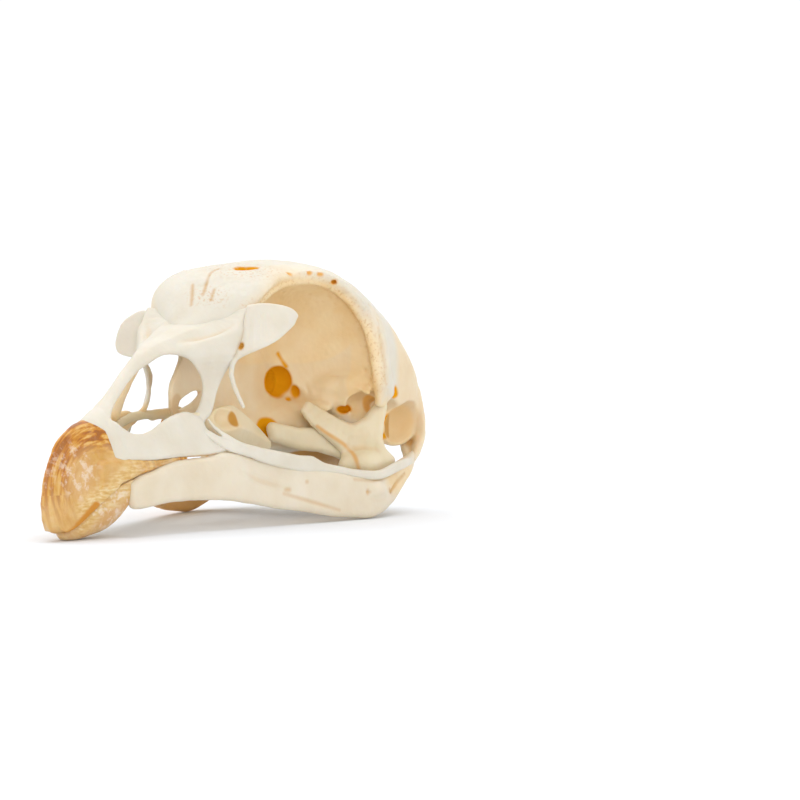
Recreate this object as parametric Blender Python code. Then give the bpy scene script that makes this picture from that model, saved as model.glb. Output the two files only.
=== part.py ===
"""A rooster's skull with its lower jaw, life size, resting as it would on a table.

Every bone is drawn in millimetres as (side, station, height). Side is the distance
from the middle plane, station runs backwards from the front of the beak, and height
is above the table. The skull faces -Y and stands on z = 0. Paired bones are drawn on
the bird's left, which is +X, and mirrored to the right.
"""

import math

import bmesh
import bpy
from mathutils import Matrix, Vector

MM = 0.001
FRONT = 1.4  # station of the front of the beak
BACK = 82.0  # station of the back of the head
MID_STATION = (FRONT + BACK) / 2  # the station that lies at y = 0
GAP = 0.35  # clear space between two bones that meet
HINGE = 36.2  # station where the beak bends against the forehead
SHEATH_END = 9.8  # station where the horn stops on the ridge of the beak
SHEATH_SLANT = 0.2  # how far that edge runs back for each millimetre down
CHIN_SHEATH_END = 13.0
SEPTUM = 0.55  # half thickness of the wall between the eye sockets
FINE = 0.42  # grain of a finished bone
COARSE = 0.6  # grain of a body that is cut before it is finished
SMALL = 0.3  # grain of the smallest bones
BONE = ("bone", (0.83, 0.76, 0.60), 0.55)  # name, colour and roughness
HORN = ("horn", (0.62, 0.33, 0.08), 0.35)

# Centre and half sizes of the hollows of the head
EYE_SOCKET = ((12.5, 48.6, 21.2), (14.5, 12.6, 12.6))
EAR = ((16.8, 71.6, 12.2), (5.6, 6.4, 4.4))
QUADRATE_BAY = ((13.8, 65.3, 9.8), (5.8, 6.0, 7.0))
OPTIC_HOLE = ((0.0, 58.0, 18.9), (5.0, 2.7, 2.4))
BRAIN = ((0.0, 68.6, 18.3), (11.5, 9.0, 7.2))
JAW_WINDOW = ((10.4, 39.8, 5.6), (2.6, 2.4, 0.9))

# One row per station: half width, underside and top
BRAINCASE = (
    (50, 9.4, 30.0, 35.3),
    (54, 12.0, 25.0, 35.9),
    (58, 14.5, 19.5, 35.8),
    (61, 15.2, 14.5, 35.0),
    (64, 15.3, 10.5, 33.9),
    (67, 15.1, 9.0, 32.0),
    (70, 14.8, 8.6, 29.8),
    (74, 14.0, 8.4, 26.0),
    (77, 12.8, 8.6, 22.2),
    (79.5, 10.8, 9.4, 18.8),
    (81.2, 7.8, 10.8, 16.4),
    (82, 4.4, 12.2, 14.8),
)
SKULL_BASE = (
    (53, 1.6, 11.8, 14.0),
    (57, 3.6, 10.6, 16.0),
    (60, 5.6, 9.4, 17.0),
    (64, 7.6, 8.5, 18.0),
    (70, 8.4, 8.1, 18.0),
    (75, 8.2, 8.2, 18.0),
    (80, 5.6, 9.2, 16.0),
)
FOREHEAD = (
    (HINGE + GAP, 7.0, 26.6, 28.4),
    (38.5, 7.8, 28.0, 30.2),
    (41, 8.5, 29.6, 32.2),
    (44, 8.9, 31.0, 34.0),
    (48, 9.4, 32.2, 35.2),
    (52, 10.8, 31.8, 35.9),
    (56, 13.2, 29.0, 35.9),
)
BEAK = (
    (1.4, 0.5, 2.8, 6.4),
    (1.8, 0.9, 1.6, 8.0),
    (2.6, 1.3, 1.0, 9.8),
    (3.6, 1.8, 1.3, 11.4),
    (5, 2.3, 2.4, 12.8),
    (7, 2.9, 4.2, 14.0),
    (9, 3.5, 5.5, 14.9),
    (11, 4.1, 6.8, 16.0),
    (13.5, 4.6, 7.9, 17.5),
    (15, 4.8, 8.4, 18.4),
)
BEAK_CORE = (
    (4.2, 0.7, 5.4, 8.8),
    (5, 1.0, 5.6, 10.2),
    (7, 1.5, 6.6, 11.9),
    (9, 2.0, 7.6, 13.0),
    (13, 3.0, 9.4, 15.4),
)
CHIN = (
    (4.9, 0.8, 1.4, 0.1),
    (5.6, 1.6, 2.4, 0.0),
    (6.8, 2.3, 3.6, 0.2),
    (8.8, 3.2, 4.9, 1.0),
    (10.5, 3.8, 5.7, 1.8),
    (12, 4.3, 6.4, 2.4),
    (14, 4.9, 7.2, 3.1),
)
CHIN_CORE = (
    (7.8, 0.9, 3.0, 1.9),
    (8.8, 1.5, 3.5, 2.3),
    (10.5, 2.1, 4.5, 3.0),
    (12, 2.6, 5.2, 3.6),
    (15, 3.6, 6.4, 4.6),
)

# The wall between the eye sockets, station and height round its edge
SEPTUM_EDGE = (
    (33.0, 23.4), (30.6, 21.0), (29.8, 18.6), (29.5, 16.6), (30.5, 15.6),
    (31.8, 15.9), (32.3, 17.3), (36.3, 18.6), (39.0, 18.0), (43.0, 16.6),
    (48.4, 15.0), (55.2, 12.0), (60.0, 10.4), (66.0, 10.0), (66.0, 29.0),
    (54.0, 34.0), (46.0, 33.6), (41.0, 30.6), (37.6, 27.6),
)

# Limbs of bone: side, station, height, half width and half depth
EYE_RIM = (
    (7.2, 38.6, 29.0, 0.7), (7.8, 42.3, 31.0, 0.8), (8.1, 45.2, 32.3, 0.9),
    (8.5, 48.2, 33.1, 0.9), (9.5, 51.2, 33.4, 0.9), (10.8, 54.1, 32.6, 0.9),
    (12.2, 56.6, 30.7, 0.9), (13.1, 58.2, 27.9, 0.9), (13.8, 59.5, 24.0, 1.0),
    (14.2, 60.6, 20.0, 1.2), (14.4, 61.6, 17.2, 1.3),
)
POSTORBITAL = (
    (14.3, 62.4, 19.4, 1.2, 1.6), (14.5, 60.4, 16.6, 1.0, 1.5), (14.3, 58.0, 14.2, 0.7, 1.1),
    (14.0, 56.0, 12.9, 0.6, 0.8), (13.9, 54.9, 12.4, 0.5),
)
CULMEN = (
    (0, 11.0, 15.0, 1.6, 1.0), (0, 12.8, 16.2, 1.6, 0.9), (0, 15.2, 18.0, 1.6, 0.8),
    (0, 17.6, 19.9, 1.6, 0.8), (0, 20.0, 21.9, 1.6, 0.8), (0, 22.5, 23.4, 1.9, 0.8),
    (0, 26.0, 24.7, 2.5, 0.8), (0, 30.0, 25.6, 4.0, 0.9), (0, 33.5, 26.5, 5.8, 1.0),
    (0, HINGE - 0.2, 27.4, 6.8, 1.1),
)
JUGAL = (
    (7.9, 33.6, 11.2, 0.5, 0.7), (9.0, 37.3, 10.1, 0.5, 0.8), (10.4, 42.4, 9.3, 0.5, 0.9),
    (11.4, 46.0, 8.6, 0.55, 0.85), (12.4, 49.7, 7.7, 0.55, 0.7), (14.2, 56.0, 6.5, 0.6),
    (15.2, 62.0, 6.3, 0.6), (15.9, 66.4, 7.4, 0.6), (16.0, 68.2, 8.0, 0.6),
)
PALATINE = (
    (2.3, 16.5, 10.2, 0.5), (2.6, 21.0, 10.6, 0.6), (3.0, 27.0, 11.2, 0.7),
    (3.7, 33.0, 11.6, 0.7, 0.9), (4.3, 38.0, 12.0, 0.7, 1.9), (4.3, 43.0, 12.1, 0.7, 2.3),
    (3.9, 47.0, 11.8, 0.8, 1.8), (3.5, 50.4, 11.4, 0.8, 1.1),
)
PTERYGOID = (
    (3.4, 52.3, 12.0, 1.1, 1.2), (5.0, 55.6, 10.9, 0.9, 1.3), (6.7, 58.4, 10.7, 0.9, 1.6),
    (8.2, 60.4, 9.6, 0.9, 1.3), (9.3, 62.0, 8.6, 1.0),
)
QUADRATE_SHAFT = (
    (12.8, 67.3, 14.4, 1.3, 1.5), (12.7, 66.6, 12.6, 1.3, 1.5), (12.5, 65.8, 10.6, 1.7, 1.9),
    (12.7, 66.2, 8.6, 2.0, 2.0),
)
NECK_HOLE = ((0, 84.0, 13.6, 3.2, 3.1), (0, 74.0, 13.8, 3.2, 3.1))
QUADRATE_WING = (
    (12.2, 65.0, 11.0, 1.0, 1.8), (10.2, 62.2, 11.8, 0.7, 1.5), (7.9, 60.0, 13.2, 0.6, 1.1),
    (6.0, 58.5, 14.6, 0.5, 0.7),
)
INNER_HORN = ((13.0, 65.4, 4.6, 1.6, 1.4), (10.6, 66.2, 4.8, 1.4, 1.2), (7.8, 67.2, 5.2, 0.8))
LACRIMAL_ROD = (
    (8.6, 36.0, 24.4, 0.5), (8.4, 35.3, 21.0, 0.45), (8.7, 35.3, 18.4, 0.45),
    (9.0, 35.4, 16.2, 0.4),
)

# Straps of bone between two edges: side, station and height of each, then half thickness
NASAL_BAR = (
    (2.2, 26.0, 24.6, 6.0, 35.9, 26.8, 0.7),
    (3.3, 29.6, 23.0, 5.7, 37.4, 23.7, 0.6),
    (4.1, 31.3, 21.0, 5.5, 36.2, 21.2, 0.6),
    (4.3, 31.8, 18.5, 5.3, 34.7, 18.5, 0.6),
    (4.2, 31.2, 16.4, 5.2, 34.0, 16.5, 0.6),
    (4.3, 29.0, 14.8, 5.3, 33.0, 14.8, 0.6),
    (4.8, 26.0, 13.0, 5.8, 31.0, 12.8, 0.6),
)
UPPER_EDGE = (
    (2.6, 11.5, 15.4, 3.4, 11.5, 7.4, 0.8),
    (3.6, 13.3, 14.5, 4.2, 13.3, 8.0, 0.8),
    (4.0, 15.9, 13.8, 4.8, 15.9, 8.9, 0.7),
    (4.2, 18.9, 13.9, 5.4, 18.9, 9.4, 0.7),
    (4.5, 22.3, 15.0, 6.0, 22.3, 9.8, 0.7),
    (4.8, 25.4, 15.9, 6.6, 25.4, 9.8, 0.7),
    (5.0, 28.4, 15.0, 7.2, 28.4, 9.9, 0.7),
    (6.0, 30.6, 13.2, 7.7, 30.6, 10.2, 0.6),
    (7.2, 32.6, 12.2, 7.9, 32.6, 10.7, 0.5),
)
EAR_FLANGE = (
    (11.0, 68.5, 17.8, 14.6, 68.5, 17.4, 1.1),
    (11.0, 73.5, 17.8, 14.5, 73.5, 17.2, 1.1),
    (10.4, 77.8, 16.6, 13.9, 77.4, 16.0, 1.1),
    (9.6, 79.6, 14.0, 13.5, 79.0, 13.6, 1.1),
    (9.6, 79.8, 11.2, 13.4, 79.2, 11.0, 1.1),
    (10.2, 78.8, 9.4, 13.6, 77.8, 8.8, 1.0),
    (11.4, 77.4, 8.2, 13.5, 76.0, 7.9, 0.8),
)
LACRIMAL_BLADE = (
    (8.5, 36.9, 29.3, 8.2, 35.6, 23.4, 0.45),
    (9.7, 38.2, 29.8, 10.4, 35.8, 23.7, 0.4),
    (11.1, 40.3, 29.6, 12.6, 37.0, 24.4, 0.4),
    (12.2, 42.4, 29.0, 12.8, 39.6, 25.8, 0.4),
    (12.6, 43.3, 28.3, 12.8, 42.0, 27.2, 0.35),
)
RAMUS = (
    (4.0, 13.6, 7.0, 4.1, 13.6, 3.6, 0.9),
    (4.7, 15.0, 7.7, 4.8, 15.0, 3.5, 0.9),
    (5.4, 17.3, 8.3, 5.5, 17.3, 3.9, 0.8),
    (6.1, 21.4, 9.4, 6.3, 21.4, 4.2, 0.8),
    (6.7, 24.9, 9.6, 6.9, 24.9, 4.1, 0.8),
    (7.5, 28.5, 9.7, 7.8, 28.5, 4.0, 0.8),
    (8.2, 31.8, 10.2, 8.8, 31.8, 3.7, 0.8),
    (9.1, 35.9, 9.4, 9.7, 35.9, 3.1, 0.8),
    (10.6, 41.5, 8.4, 11.0, 41.5, 2.1, 0.8),
    (11.6, 45.3, 7.6, 12.0, 45.3, 1.6, 0.8),
    (13.5, 53.1, 6.1, 13.9, 53.1, 0.8, 0.9),
    (14.2, 56.0, 5.5, 14.6, 56.0, 0.2, 1.0),
    (14.4, 58.8, 5.0, 14.9, 58.8, -0.1, 1.2),
    (14.5, 61.2, 4.9, 15.0, 61.2, 0.3, 1.5),
    (13.9, 64.5, 5.8, 14.3, 64.5, 1.6, 1.9),
    (13.5, 68.5, 6.2, 13.7, 68.5, 3.4, 1.6),
    (13.3, 72.8, 7.2, 13.4, 72.8, 4.9, 1.0),
    (13.0, 76.2, 8.0, 13.0, 76.2, 6.6, 0.6),
)


def point(side, station, height):
    """The place of a drawn point in the model, in metres."""
    return Vector((side, station - MID_STATION, height)) * MM


def tube(rings):
    """A closed body through rings of equal length, capped at both ends."""
    shape = bmesh.new()
    made = [[shape.verts.new(place) for place in ring] for ring in rings]
    count = len(made[0])
    for first, second in zip(made, made[1:]):
        for i in range(count):
            j = (i + 1) % count
            shape.faces.new((first[i], first[j], second[j], second[i]))
    shape.faces.new(made[0])
    shape.faces.new(made[-1])
    bmesh.ops.recalc_face_normals(shape, faces=shape.faces)
    return shape


def eased(rows, step):
    """Rows filled in along a curve that passes through each of them."""
    filled = []
    last = len(rows) - 1
    for i in range(last):
        a, b, c, d = (rows[min(max(k, 0), last)] for k in (i - 1, i, i + 1, i + 2))
        count = max(1, round(math.dist(b[:3], c[:3]) / step))
        for t in (k / count for k in range(count)):
            filled.append(
                tuple(
                    q + 0.5 * t * (r - p + t * (2 * p - 5 * q + 4 * r - s + t * (3 * (q - r) + s - p)))
                    for p, q, r, s in zip(a, b, c, d)
                )
            )
    filled.append(tuple(rows[last]))
    return filled


def limb(rows, count=14, step=1.6):
    """A tapering limb of bone. Its width is level and its depth is square to that."""
    path = eased([row if len(row) == 5 else (*row, row[3]) for row in rows], step)
    places = [point(*row[:3]) for row in path]
    rings = []
    for i, row in enumerate(path):
        ahead = places[min(i + 1, len(path) - 1)] - places[max(i - 1, 0)]
        across = Vector((ahead.y, -ahead.x, 0)).normalized()
        over = across.cross(ahead).normalized()
        rings.append(ring(places[i], across * row[3] * MM, over * row[4] * MM, count))
    return tube(rings)


def strap(rows):
    """A flat band of bone between two edges."""
    path = eased(rows, 1.6)
    middles = [(point(*row[:3]) + point(*row[3:6])) / 2 for row in path]
    rings = []
    for i, row in enumerate(path):
        ahead = middles[min(i + 1, len(path) - 1)] - middles[max(i - 1, 0)]
        reach = point(*row[:3]) - middles[i]
        over = reach.cross(ahead).normalized()
        rings.append(ring(middles[i], reach, over * row[6] * MM, 14, 2.6))
    return tube(rings)


def ring(centre, across, over, count, power=2.0):
    """Points round an oval; a power above two squares it."""
    places = []
    for k in range(count):
        c = math.cos(2 * math.pi * k / count)
        s = math.sin(2 * math.pi * k / count)
        c = math.copysign(abs(c) ** (2 / power), c)
        s = math.copysign(abs(s) ** (2 / power), s)
        places.append(centre + across * c + over * s)
    return places


def body(sections, power=2.3):
    """A rounded body through rows of station, half width, underside and top."""
    rings = []
    for station, width, low, high in sections:
        centre = point(0, station, (low + high) / 2)
        rise = Vector((0, 0, (high - low) / 2 * MM))
        rings.append(ring(centre, Vector((width * MM, 0, 0)), rise, 28, power))
    return tube(rings)


def vault(sections, grow=0.0, power=1.7, count=18):
    """A body that is flat and widest on one side and narrows to a rounded ridge.

    A section is station, half width, height of the flat side and height of the ridge.
    """
    rings = []
    for station, width, flat, ridge in sections:
        way = math.copysign(grow, ridge - flat)
        places = []
        for k in range(count + 1):
            turn = math.pi * k / count
            c = math.copysign(abs(math.cos(turn)) ** (2 / power), math.cos(turn))
            s = abs(math.sin(turn)) ** (2 / power)
            height = flat - way + (ridge - flat + 2 * way) * s
            places.append(point((width + grow) * c, station, height))
        rings.append(places)
    return tube(rings)


def ball(centre, halves):
    shape = bmesh.new()
    bmesh.ops.create_uvsphere(shape, u_segments=24, v_segments=14, radius=1)
    sizes = Matrix.Diagonal((*(half * MM for half in halves), 1))
    shape.transform(Matrix.Translation(point(*centre)) @ sizes)
    return shape


def wall(outline, half):
    """A thin upright wall in the middle plane with this outline."""
    shape = bmesh.new()
    near = [shape.verts.new(point(-half, *row)) for row in outline]
    face = shape.faces.new(near)
    grown = bmesh.ops.extrude_face_region(shape, geom=[face])
    for vert in grown["geom"]:
        if isinstance(vert, bmesh.types.BMVert):
            vert.co.x = half * MM
    bmesh.ops.recalc_face_normals(shape, faces=shape.faces)
    return shape


def other_side(shape):
    """A mirrored copy of a shape, facing outwards."""
    copy = shape.copy()
    copy.transform(Matrix.Scale(-1, 4, (1, 0, 0)))
    bmesh.ops.reverse_faces(copy, faces=copy.faces)
    return copy


def pair(shape):
    return [shape, other_side(shape)]


def joined(name, shapes):
    """One object that holds several closed shapes."""
    whole = bmesh.new()
    piece = bpy.data.meshes.new("piece")
    for shape in shapes:
        shape.to_mesh(piece)
        whole.from_mesh(piece)
        shape.free()
    bpy.data.meshes.remove(piece)
    mesh = bpy.data.meshes.new(name)
    whole.to_mesh(mesh)
    whole.free()
    made = bpy.data.objects.new(name, mesh)
    bpy.context.scene.collection.objects.link(made)
    return made


def fused(bone, grain):
    step = bone.modifiers.new("fused", "REMESH")
    step.mode = "VOXEL"
    step.voxel_size = grain * MM


def cut(bone, shapes, operation="DIFFERENCE"):
    tool = joined(bone.name + ".cutter", shapes)
    tool.hide_render = True
    tool.display_type = "WIRE"
    step = bone.modifiers.new("cut", "BOOLEAN")
    step.operation = operation
    step.solver = "EXACT"
    step.object = tool


def worked(bone):
    """The finished surface of a bone as a loose shape, ready for the next step."""
    shape = bmesh.new()
    graph = bpy.context.evaluated_depsgraph_get()
    shape.from_object(bone, graph)
    bpy.data.objects.remove(bone)
    return shape


def finished(bone, triangles, look=BONE, smoothing=4):
    """Softens the joins of a bone and thins its mesh to about this many triangles."""
    ease = bone.modifiers.new("ease", "SMOOTH")
    ease.factor = 0.5
    ease.iterations = smoothing
    graph = bpy.context.evaluated_depsgraph_get()
    seen = bone.evaluated_get(graph)
    faces = 0
    for polygon in seen.data.polygons:
        faces += len(polygon.vertices) - 2
    thin = bone.modifiers.new("thin", "DECIMATE")
    thin.ratio = min(1.0, triangles / faces)
    return dressed(bone, look)


def dressed(bone, look):
    """Gives a bone its material and rounded shading."""
    name, colour, roughness = look
    made = bpy.data.materials.get(name) or bpy.data.materials.new(name)
    made.use_nodes = True
    shader = made.node_tree.nodes["Principled BSDF"]
    shader.inputs["Base Color"].default_value = (*colour, 1)
    shader.inputs["Roughness"].default_value = roughness
    shader.inputs["Metallic"].default_value = 0.0
    bone.data.materials.append(made)
    bone.data.shade_smooth()
    return bone


def block(front, back, slant=0.0):
    """Everything between two stations; the front face leans back towards the table."""
    shape = bmesh.new()
    bmesh.ops.create_cube(shape, size=1)
    for vert in shape.verts:
        height = 40.0 if vert.co.z > 0 else -10.0
        station = back if vert.co.y > 0 else front + slant * (15.6 - height)
        vert.co = point(math.copysign(30.0, vert.co.x), station, height)
    return shape


def neurocranium():
    head = joined("head", [body(BRAINCASE), body(FOREHEAD, 2.2)])
    fused(head, COARSE)
    for place in (EYE_SOCKET, EAR, QUADRATE_BAY):
        for hollow in pair(ball(*place)):
            cut(head, [hollow])
    bone = joined(
        "neurocranium",
        [
            worked(head),
            body(SKULL_BASE, 2.2),
            wall(SEPTUM_EDGE, SEPTUM),
            *pair(limb(EYE_RIM)),
            *pair(limb(POSTORBITAL)),
            *pair(strap(EAR_FLANGE)),
            ball((0, 80.6, 9.2), (1.5, 1.4, 1.2)),
        ],
    )
    fused(bone, FINE)
    cut(bone, [ball(*OPTIC_HOLE)])
    cut(bone, [ball(*BRAIN)])
    cut(bone, [limb(NECK_HOLE)])
    return finished(bone, 3200)


def upper_beak():
    rear = joined("rear", [vault(BEAK)])
    cut(rear, [block(SHEATH_END + GAP / 2, 40, SHEATH_SLANT)], "INTERSECT")
    bone = joined(
        "upper_beak",
        [
            worked(rear),
            vault(BEAK_CORE),
            limb(CULMEN),
            *pair(strap(NASAL_BAR)),
            *pair(strap(UPPER_EDGE)),
        ],
    )
    fused(bone, FINE)
    return finished(bone, 1300)


def upper_beak_sheath():
    horn = joined("upper_beak_sheath", [vault(BEAK)])
    cut(horn, [block(SHEATH_END - GAP / 2, 40, SHEATH_SLANT)])
    cut(horn, [vault(BEAK_CORE, GAP)])
    return dressed(horn, HORN)


def mandible():
    bone = joined(
        "mandible",
        [vault(CHIN_CORE), *pair(strap(RAMUS)), *pair(limb(INNER_HORN))],
    )
    fused(bone, FINE)
    for window in pair(ball(*JAW_WINDOW)):
        cut(bone, [window])
    return finished(bone, 1300)


def lower_beak_sheath():
    horn = joined("lower_beak_sheath", [vault(CHIN)])
    cut(horn, [block(CHIN_SHEATH_END, 40)])
    cut(horn, [vault(CHIN_CORE, GAP + 0.1)])
    return dressed(horn, HORN)


def both_sides(name, shapes, triangles):
    """A paired bone of several joined limbs, from the shapes of its left side."""
    right = [other_side(shape) for shape in shapes]
    for side, parts in (("left", shapes), ("right", right)):
        bone = joined(f"{name}_{side}", parts)
        fused(bone, SMALL)
        finished(bone, triangles, BONE, 2)


def rod_both_sides(name, rows):
    """A paired bone that is a single slender limb."""
    for side, shape in zip(("left", "right"), pair(limb(rows, 10, 2.4))):
        dressed(joined(f"{name}_{side}", [shape]), BONE)


for old in list(bpy.data.objects):
    bpy.data.objects.remove(old)

neurocranium()
upper_beak()
upper_beak_sheath()
mandible()
lower_beak_sheath()
both_sides("lacrimal", [strap(LACRIMAL_BLADE), limb(LACRIMAL_ROD)], 320)
rod_both_sides("jugal", JUGAL)
rod_both_sides("palatine", PALATINE)
rod_both_sides("pterygoid", PTERYGOID)
both_sides(
    "quadrate",
    [
        limb(QUADRATE_SHAFT),
        limb(QUADRATE_WING),
        ball((13.5, 67.2, 7.8), (1.3, 1.6, 1.1)),
        ball((10.9, 64.6, 7.8), (1.5, 1.2, 1.1)),
    ],
    400,
)
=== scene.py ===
"""A rooster's skull with its lower jaw, cleaned and dried, resting on a pale studio table.

Every bone is drawn in millimetres as (side, station, height): side is the distance from
the middle plane, station runs backwards from the front of the beak, and height is above
the table. The beak points along -Y and the bird's left is +X.
"""

import math

import bpy
import numpy as np
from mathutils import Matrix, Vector, noise


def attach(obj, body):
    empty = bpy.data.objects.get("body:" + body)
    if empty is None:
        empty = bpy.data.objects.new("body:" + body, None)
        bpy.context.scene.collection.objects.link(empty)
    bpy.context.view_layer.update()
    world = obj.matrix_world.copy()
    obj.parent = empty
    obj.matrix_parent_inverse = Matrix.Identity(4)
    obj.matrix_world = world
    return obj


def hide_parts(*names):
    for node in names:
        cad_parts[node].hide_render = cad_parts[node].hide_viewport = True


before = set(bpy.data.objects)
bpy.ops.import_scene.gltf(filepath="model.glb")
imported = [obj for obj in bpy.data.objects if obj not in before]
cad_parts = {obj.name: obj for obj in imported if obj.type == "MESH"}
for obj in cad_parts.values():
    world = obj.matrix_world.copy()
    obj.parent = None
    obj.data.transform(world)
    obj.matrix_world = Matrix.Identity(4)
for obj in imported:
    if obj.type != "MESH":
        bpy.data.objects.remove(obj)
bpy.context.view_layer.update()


# ------------------------------------------------------------
# The braincase with both eye sockets. In an adult bird these are many bones grown into
# one thin, spongy shell. It is modelled the way a caster would: clay is laid on in lumps,
# limbs and plates, each eased into the last, and the hollows are pressed out of it.

MM = 0.001
MIDDLE = 41.7  # the station that lies at y = 0
FAR = 5.0  # stands for "nowhere near the surface"


def eased(rows, step):
    """Rows filled in along a curve that passes through each of them."""
    rows = np.array(rows, float)
    last = len(rows) - 1
    filled = []
    for i in range(last):
        a, b, c, d = (rows[min(max(k, 0), last)] for k in (i - 1, i, i + 1, i + 2))
        count = max(1, round(np.linalg.norm(c[:3] - b[:3]) / step))
        for t in (k / count for k in range(count)):
            bend = 2 * a - 5 * b + 4 * c - d + t * (3 * (b - c) + d - a)
            filled.append(b + 0.5 * t * (c - a + t * bend))
    filled.append(rows[last])
    return np.array(filled)


def lump(centre, halves):
    """An egg of clay."""
    centre = np.array(centre, float)
    halves = np.array(halves, float)

    def distance(*place):
        near = sum(((p - c) / h) ** 2 for p, c, h in zip(place, centre, halves)) ** 0.5
        steep = sum(((p - c) / h**2) ** 2 for p, c, h in zip(place, centre, halves)) ** 0.5
        return near * (near - 1) / np.maximum(steep, 1e-4)

    return [(centre - halves, centre + halves, distance)]


def limb(rows, step=1.0):
    """A round limb through rows of side, station, height and radius."""
    path = eased(rows, step)
    return [stick(a, b) for a, b in zip(path, path[1:])]


def stick(a, b):
    """One straight stretch of a limb, as its box and its distances."""
    along = b - a
    length = max(float(along[:3] @ along[:3]), 1e-6)
    thick = max(a[3], b[3])

    def distance(x, s, z):
        t = ((x - a[0]) * along[0] + (s - a[1]) * along[1] + (z - a[2]) * along[2]) / length
        t = np.clip(t, 0, 1)
        off = (x - a[0] - t * along[0]) ** 2 + (s - a[1] - t * along[1]) ** 2
        off = off + (z - a[2] - t * along[2]) ** 2
        return np.sqrt(off) - a[3] - t * along[3]

    return np.minimum(a, b)[:3] - thick, np.maximum(a, b)[:3] + thick, distance


def plate(rows, step=1.4):
    """A thin sheet of bone. A row holds the points across it and then half its thickness."""
    path = eased(rows, step)
    across = (path.shape[1] - 1) // 3
    grid = path[:, :-1].reshape(len(path), across, 3)
    pieces = []
    for i in range(len(path) - 1):
        thick = (path[i, -1] + path[i + 1, -1]) / 2
        for j in range(across - 1):
            a, b, c, d = grid[i, j], grid[i, j + 1], grid[i + 1, j + 1], grid[i + 1, j]
            pieces.append(flake(a, b, c, thick))
            pieces.append(flake(a, c, d, thick))
    return pieces


def flake(a, b, c, thick):
    """A three-cornered flake of even thickness with rounded edges."""
    sides = ((a, b - a), (b, c - b), (c, a - c))
    normal = np.cross(b - a, c - a)
    normal = normal / max(np.linalg.norm(normal), 1e-9)

    def distance(x, s, z):
        over = True
        nearest = None
        for start, side in sides:
            off = (x - start[0], s - start[1], z - start[2])
            wall = np.cross(side, normal)
            over = over & (sum(p * q for p, q in zip(off, wall)) <= 0)
            t = sum(p * q for p, q in zip(off, side)) / max(float(side @ side), 1e-9)
            t = np.clip(t, 0, 1)
            away = sum((p - t * q) ** 2 for p, q in zip(off, side))
            nearest = away if nearest is None else np.minimum(nearest, away)
        height = sum((p - q) * n for p, q, n in zip((x, s, z), a, normal)) ** 2
        return np.sqrt(np.where(over, height, nearest)) - thick

    corners = np.array([a, b, c])
    return corners.min(axis=0) - thick, corners.max(axis=0) + thick, distance


def oval(across, up, width, rise, power):
    """Distances from an oval, which is squarer the higher its power."""
    out = (np.abs(across / width) ** power + np.abs(up / rise) ** power) ** (1 / power)
    inner = (out - 1) * np.minimum(width, rise)
    outer = np.sqrt(across * across + up * up) * (1 - 1 / np.maximum(out, 0.5))
    return np.where(out < 0.5, inner, outer)


def loft(rows, power=2.3):
    """A rounded body through rows of station, half width, underside and top."""
    fine = eased([(r[0], 0, 0, *r[1:]) for r in rows], 0.5)[:, [0, 3, 4, 5]]
    low = (-fine[:, 1].max(), fine[0, 0], fine[:, 2].min())
    high = (fine[:, 1].max(), fine[-1, 0], fine[:, 3].max())

    def distance(x, s, z):
        width, under, top = (np.interp(s, fine[:, 0], fine[:, k]) for k in (1, 2, 3))
        rise = np.maximum((top - under) / 2, 0.05)
        around = oval(x, z - (top + under) / 2, np.maximum(width, 0.05), rise, power)
        return np.maximum(around, np.maximum(fine[0, 0] - s, s - fine[-1, 0]))

    return [(np.array(low), np.array(high), distance)]


def wall(outline, half):
    """An upright sheet of bone in the middle plane, from its stations and heights."""
    corners = np.array(outline, float)

    def distance(x, s, z):
        inside = np.zeros(np.broadcast(s, z).shape, bool)
        nearest = np.full(inside.shape, np.inf)
        for a, b in zip(corners, np.roll(corners, -1, axis=0)):
            side = b - a
            t = ((s - a[0]) * side[0] + (z - a[1]) * side[1]) / (side @ side)
            t = np.clip(t, 0, 1)
            away = (s - a[0] - t * side[0]) ** 2 + (z - a[1] - t * side[1]) ** 2
            nearest = np.minimum(nearest, away)
            if side[1]:
                crossed = (z > min(a[1], b[1])) & (z <= max(a[1], b[1]))
                inside ^= crossed & (s < a[0] + (z - a[1]) * side[0] / side[1])
        flat = np.where(inside, -1, 1) * np.sqrt(nearest)
        thick = np.abs(x) - half
        off = np.sqrt(np.maximum(flat, 0) ** 2 + np.maximum(thick, 0) ** 2)
        return off + np.minimum(np.maximum(flat, thick), 0)

    low = (-half, *corners.min(axis=0))
    high = (half, *corners.max(axis=0))
    return [(np.array(low), np.array(high), distance)]


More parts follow.
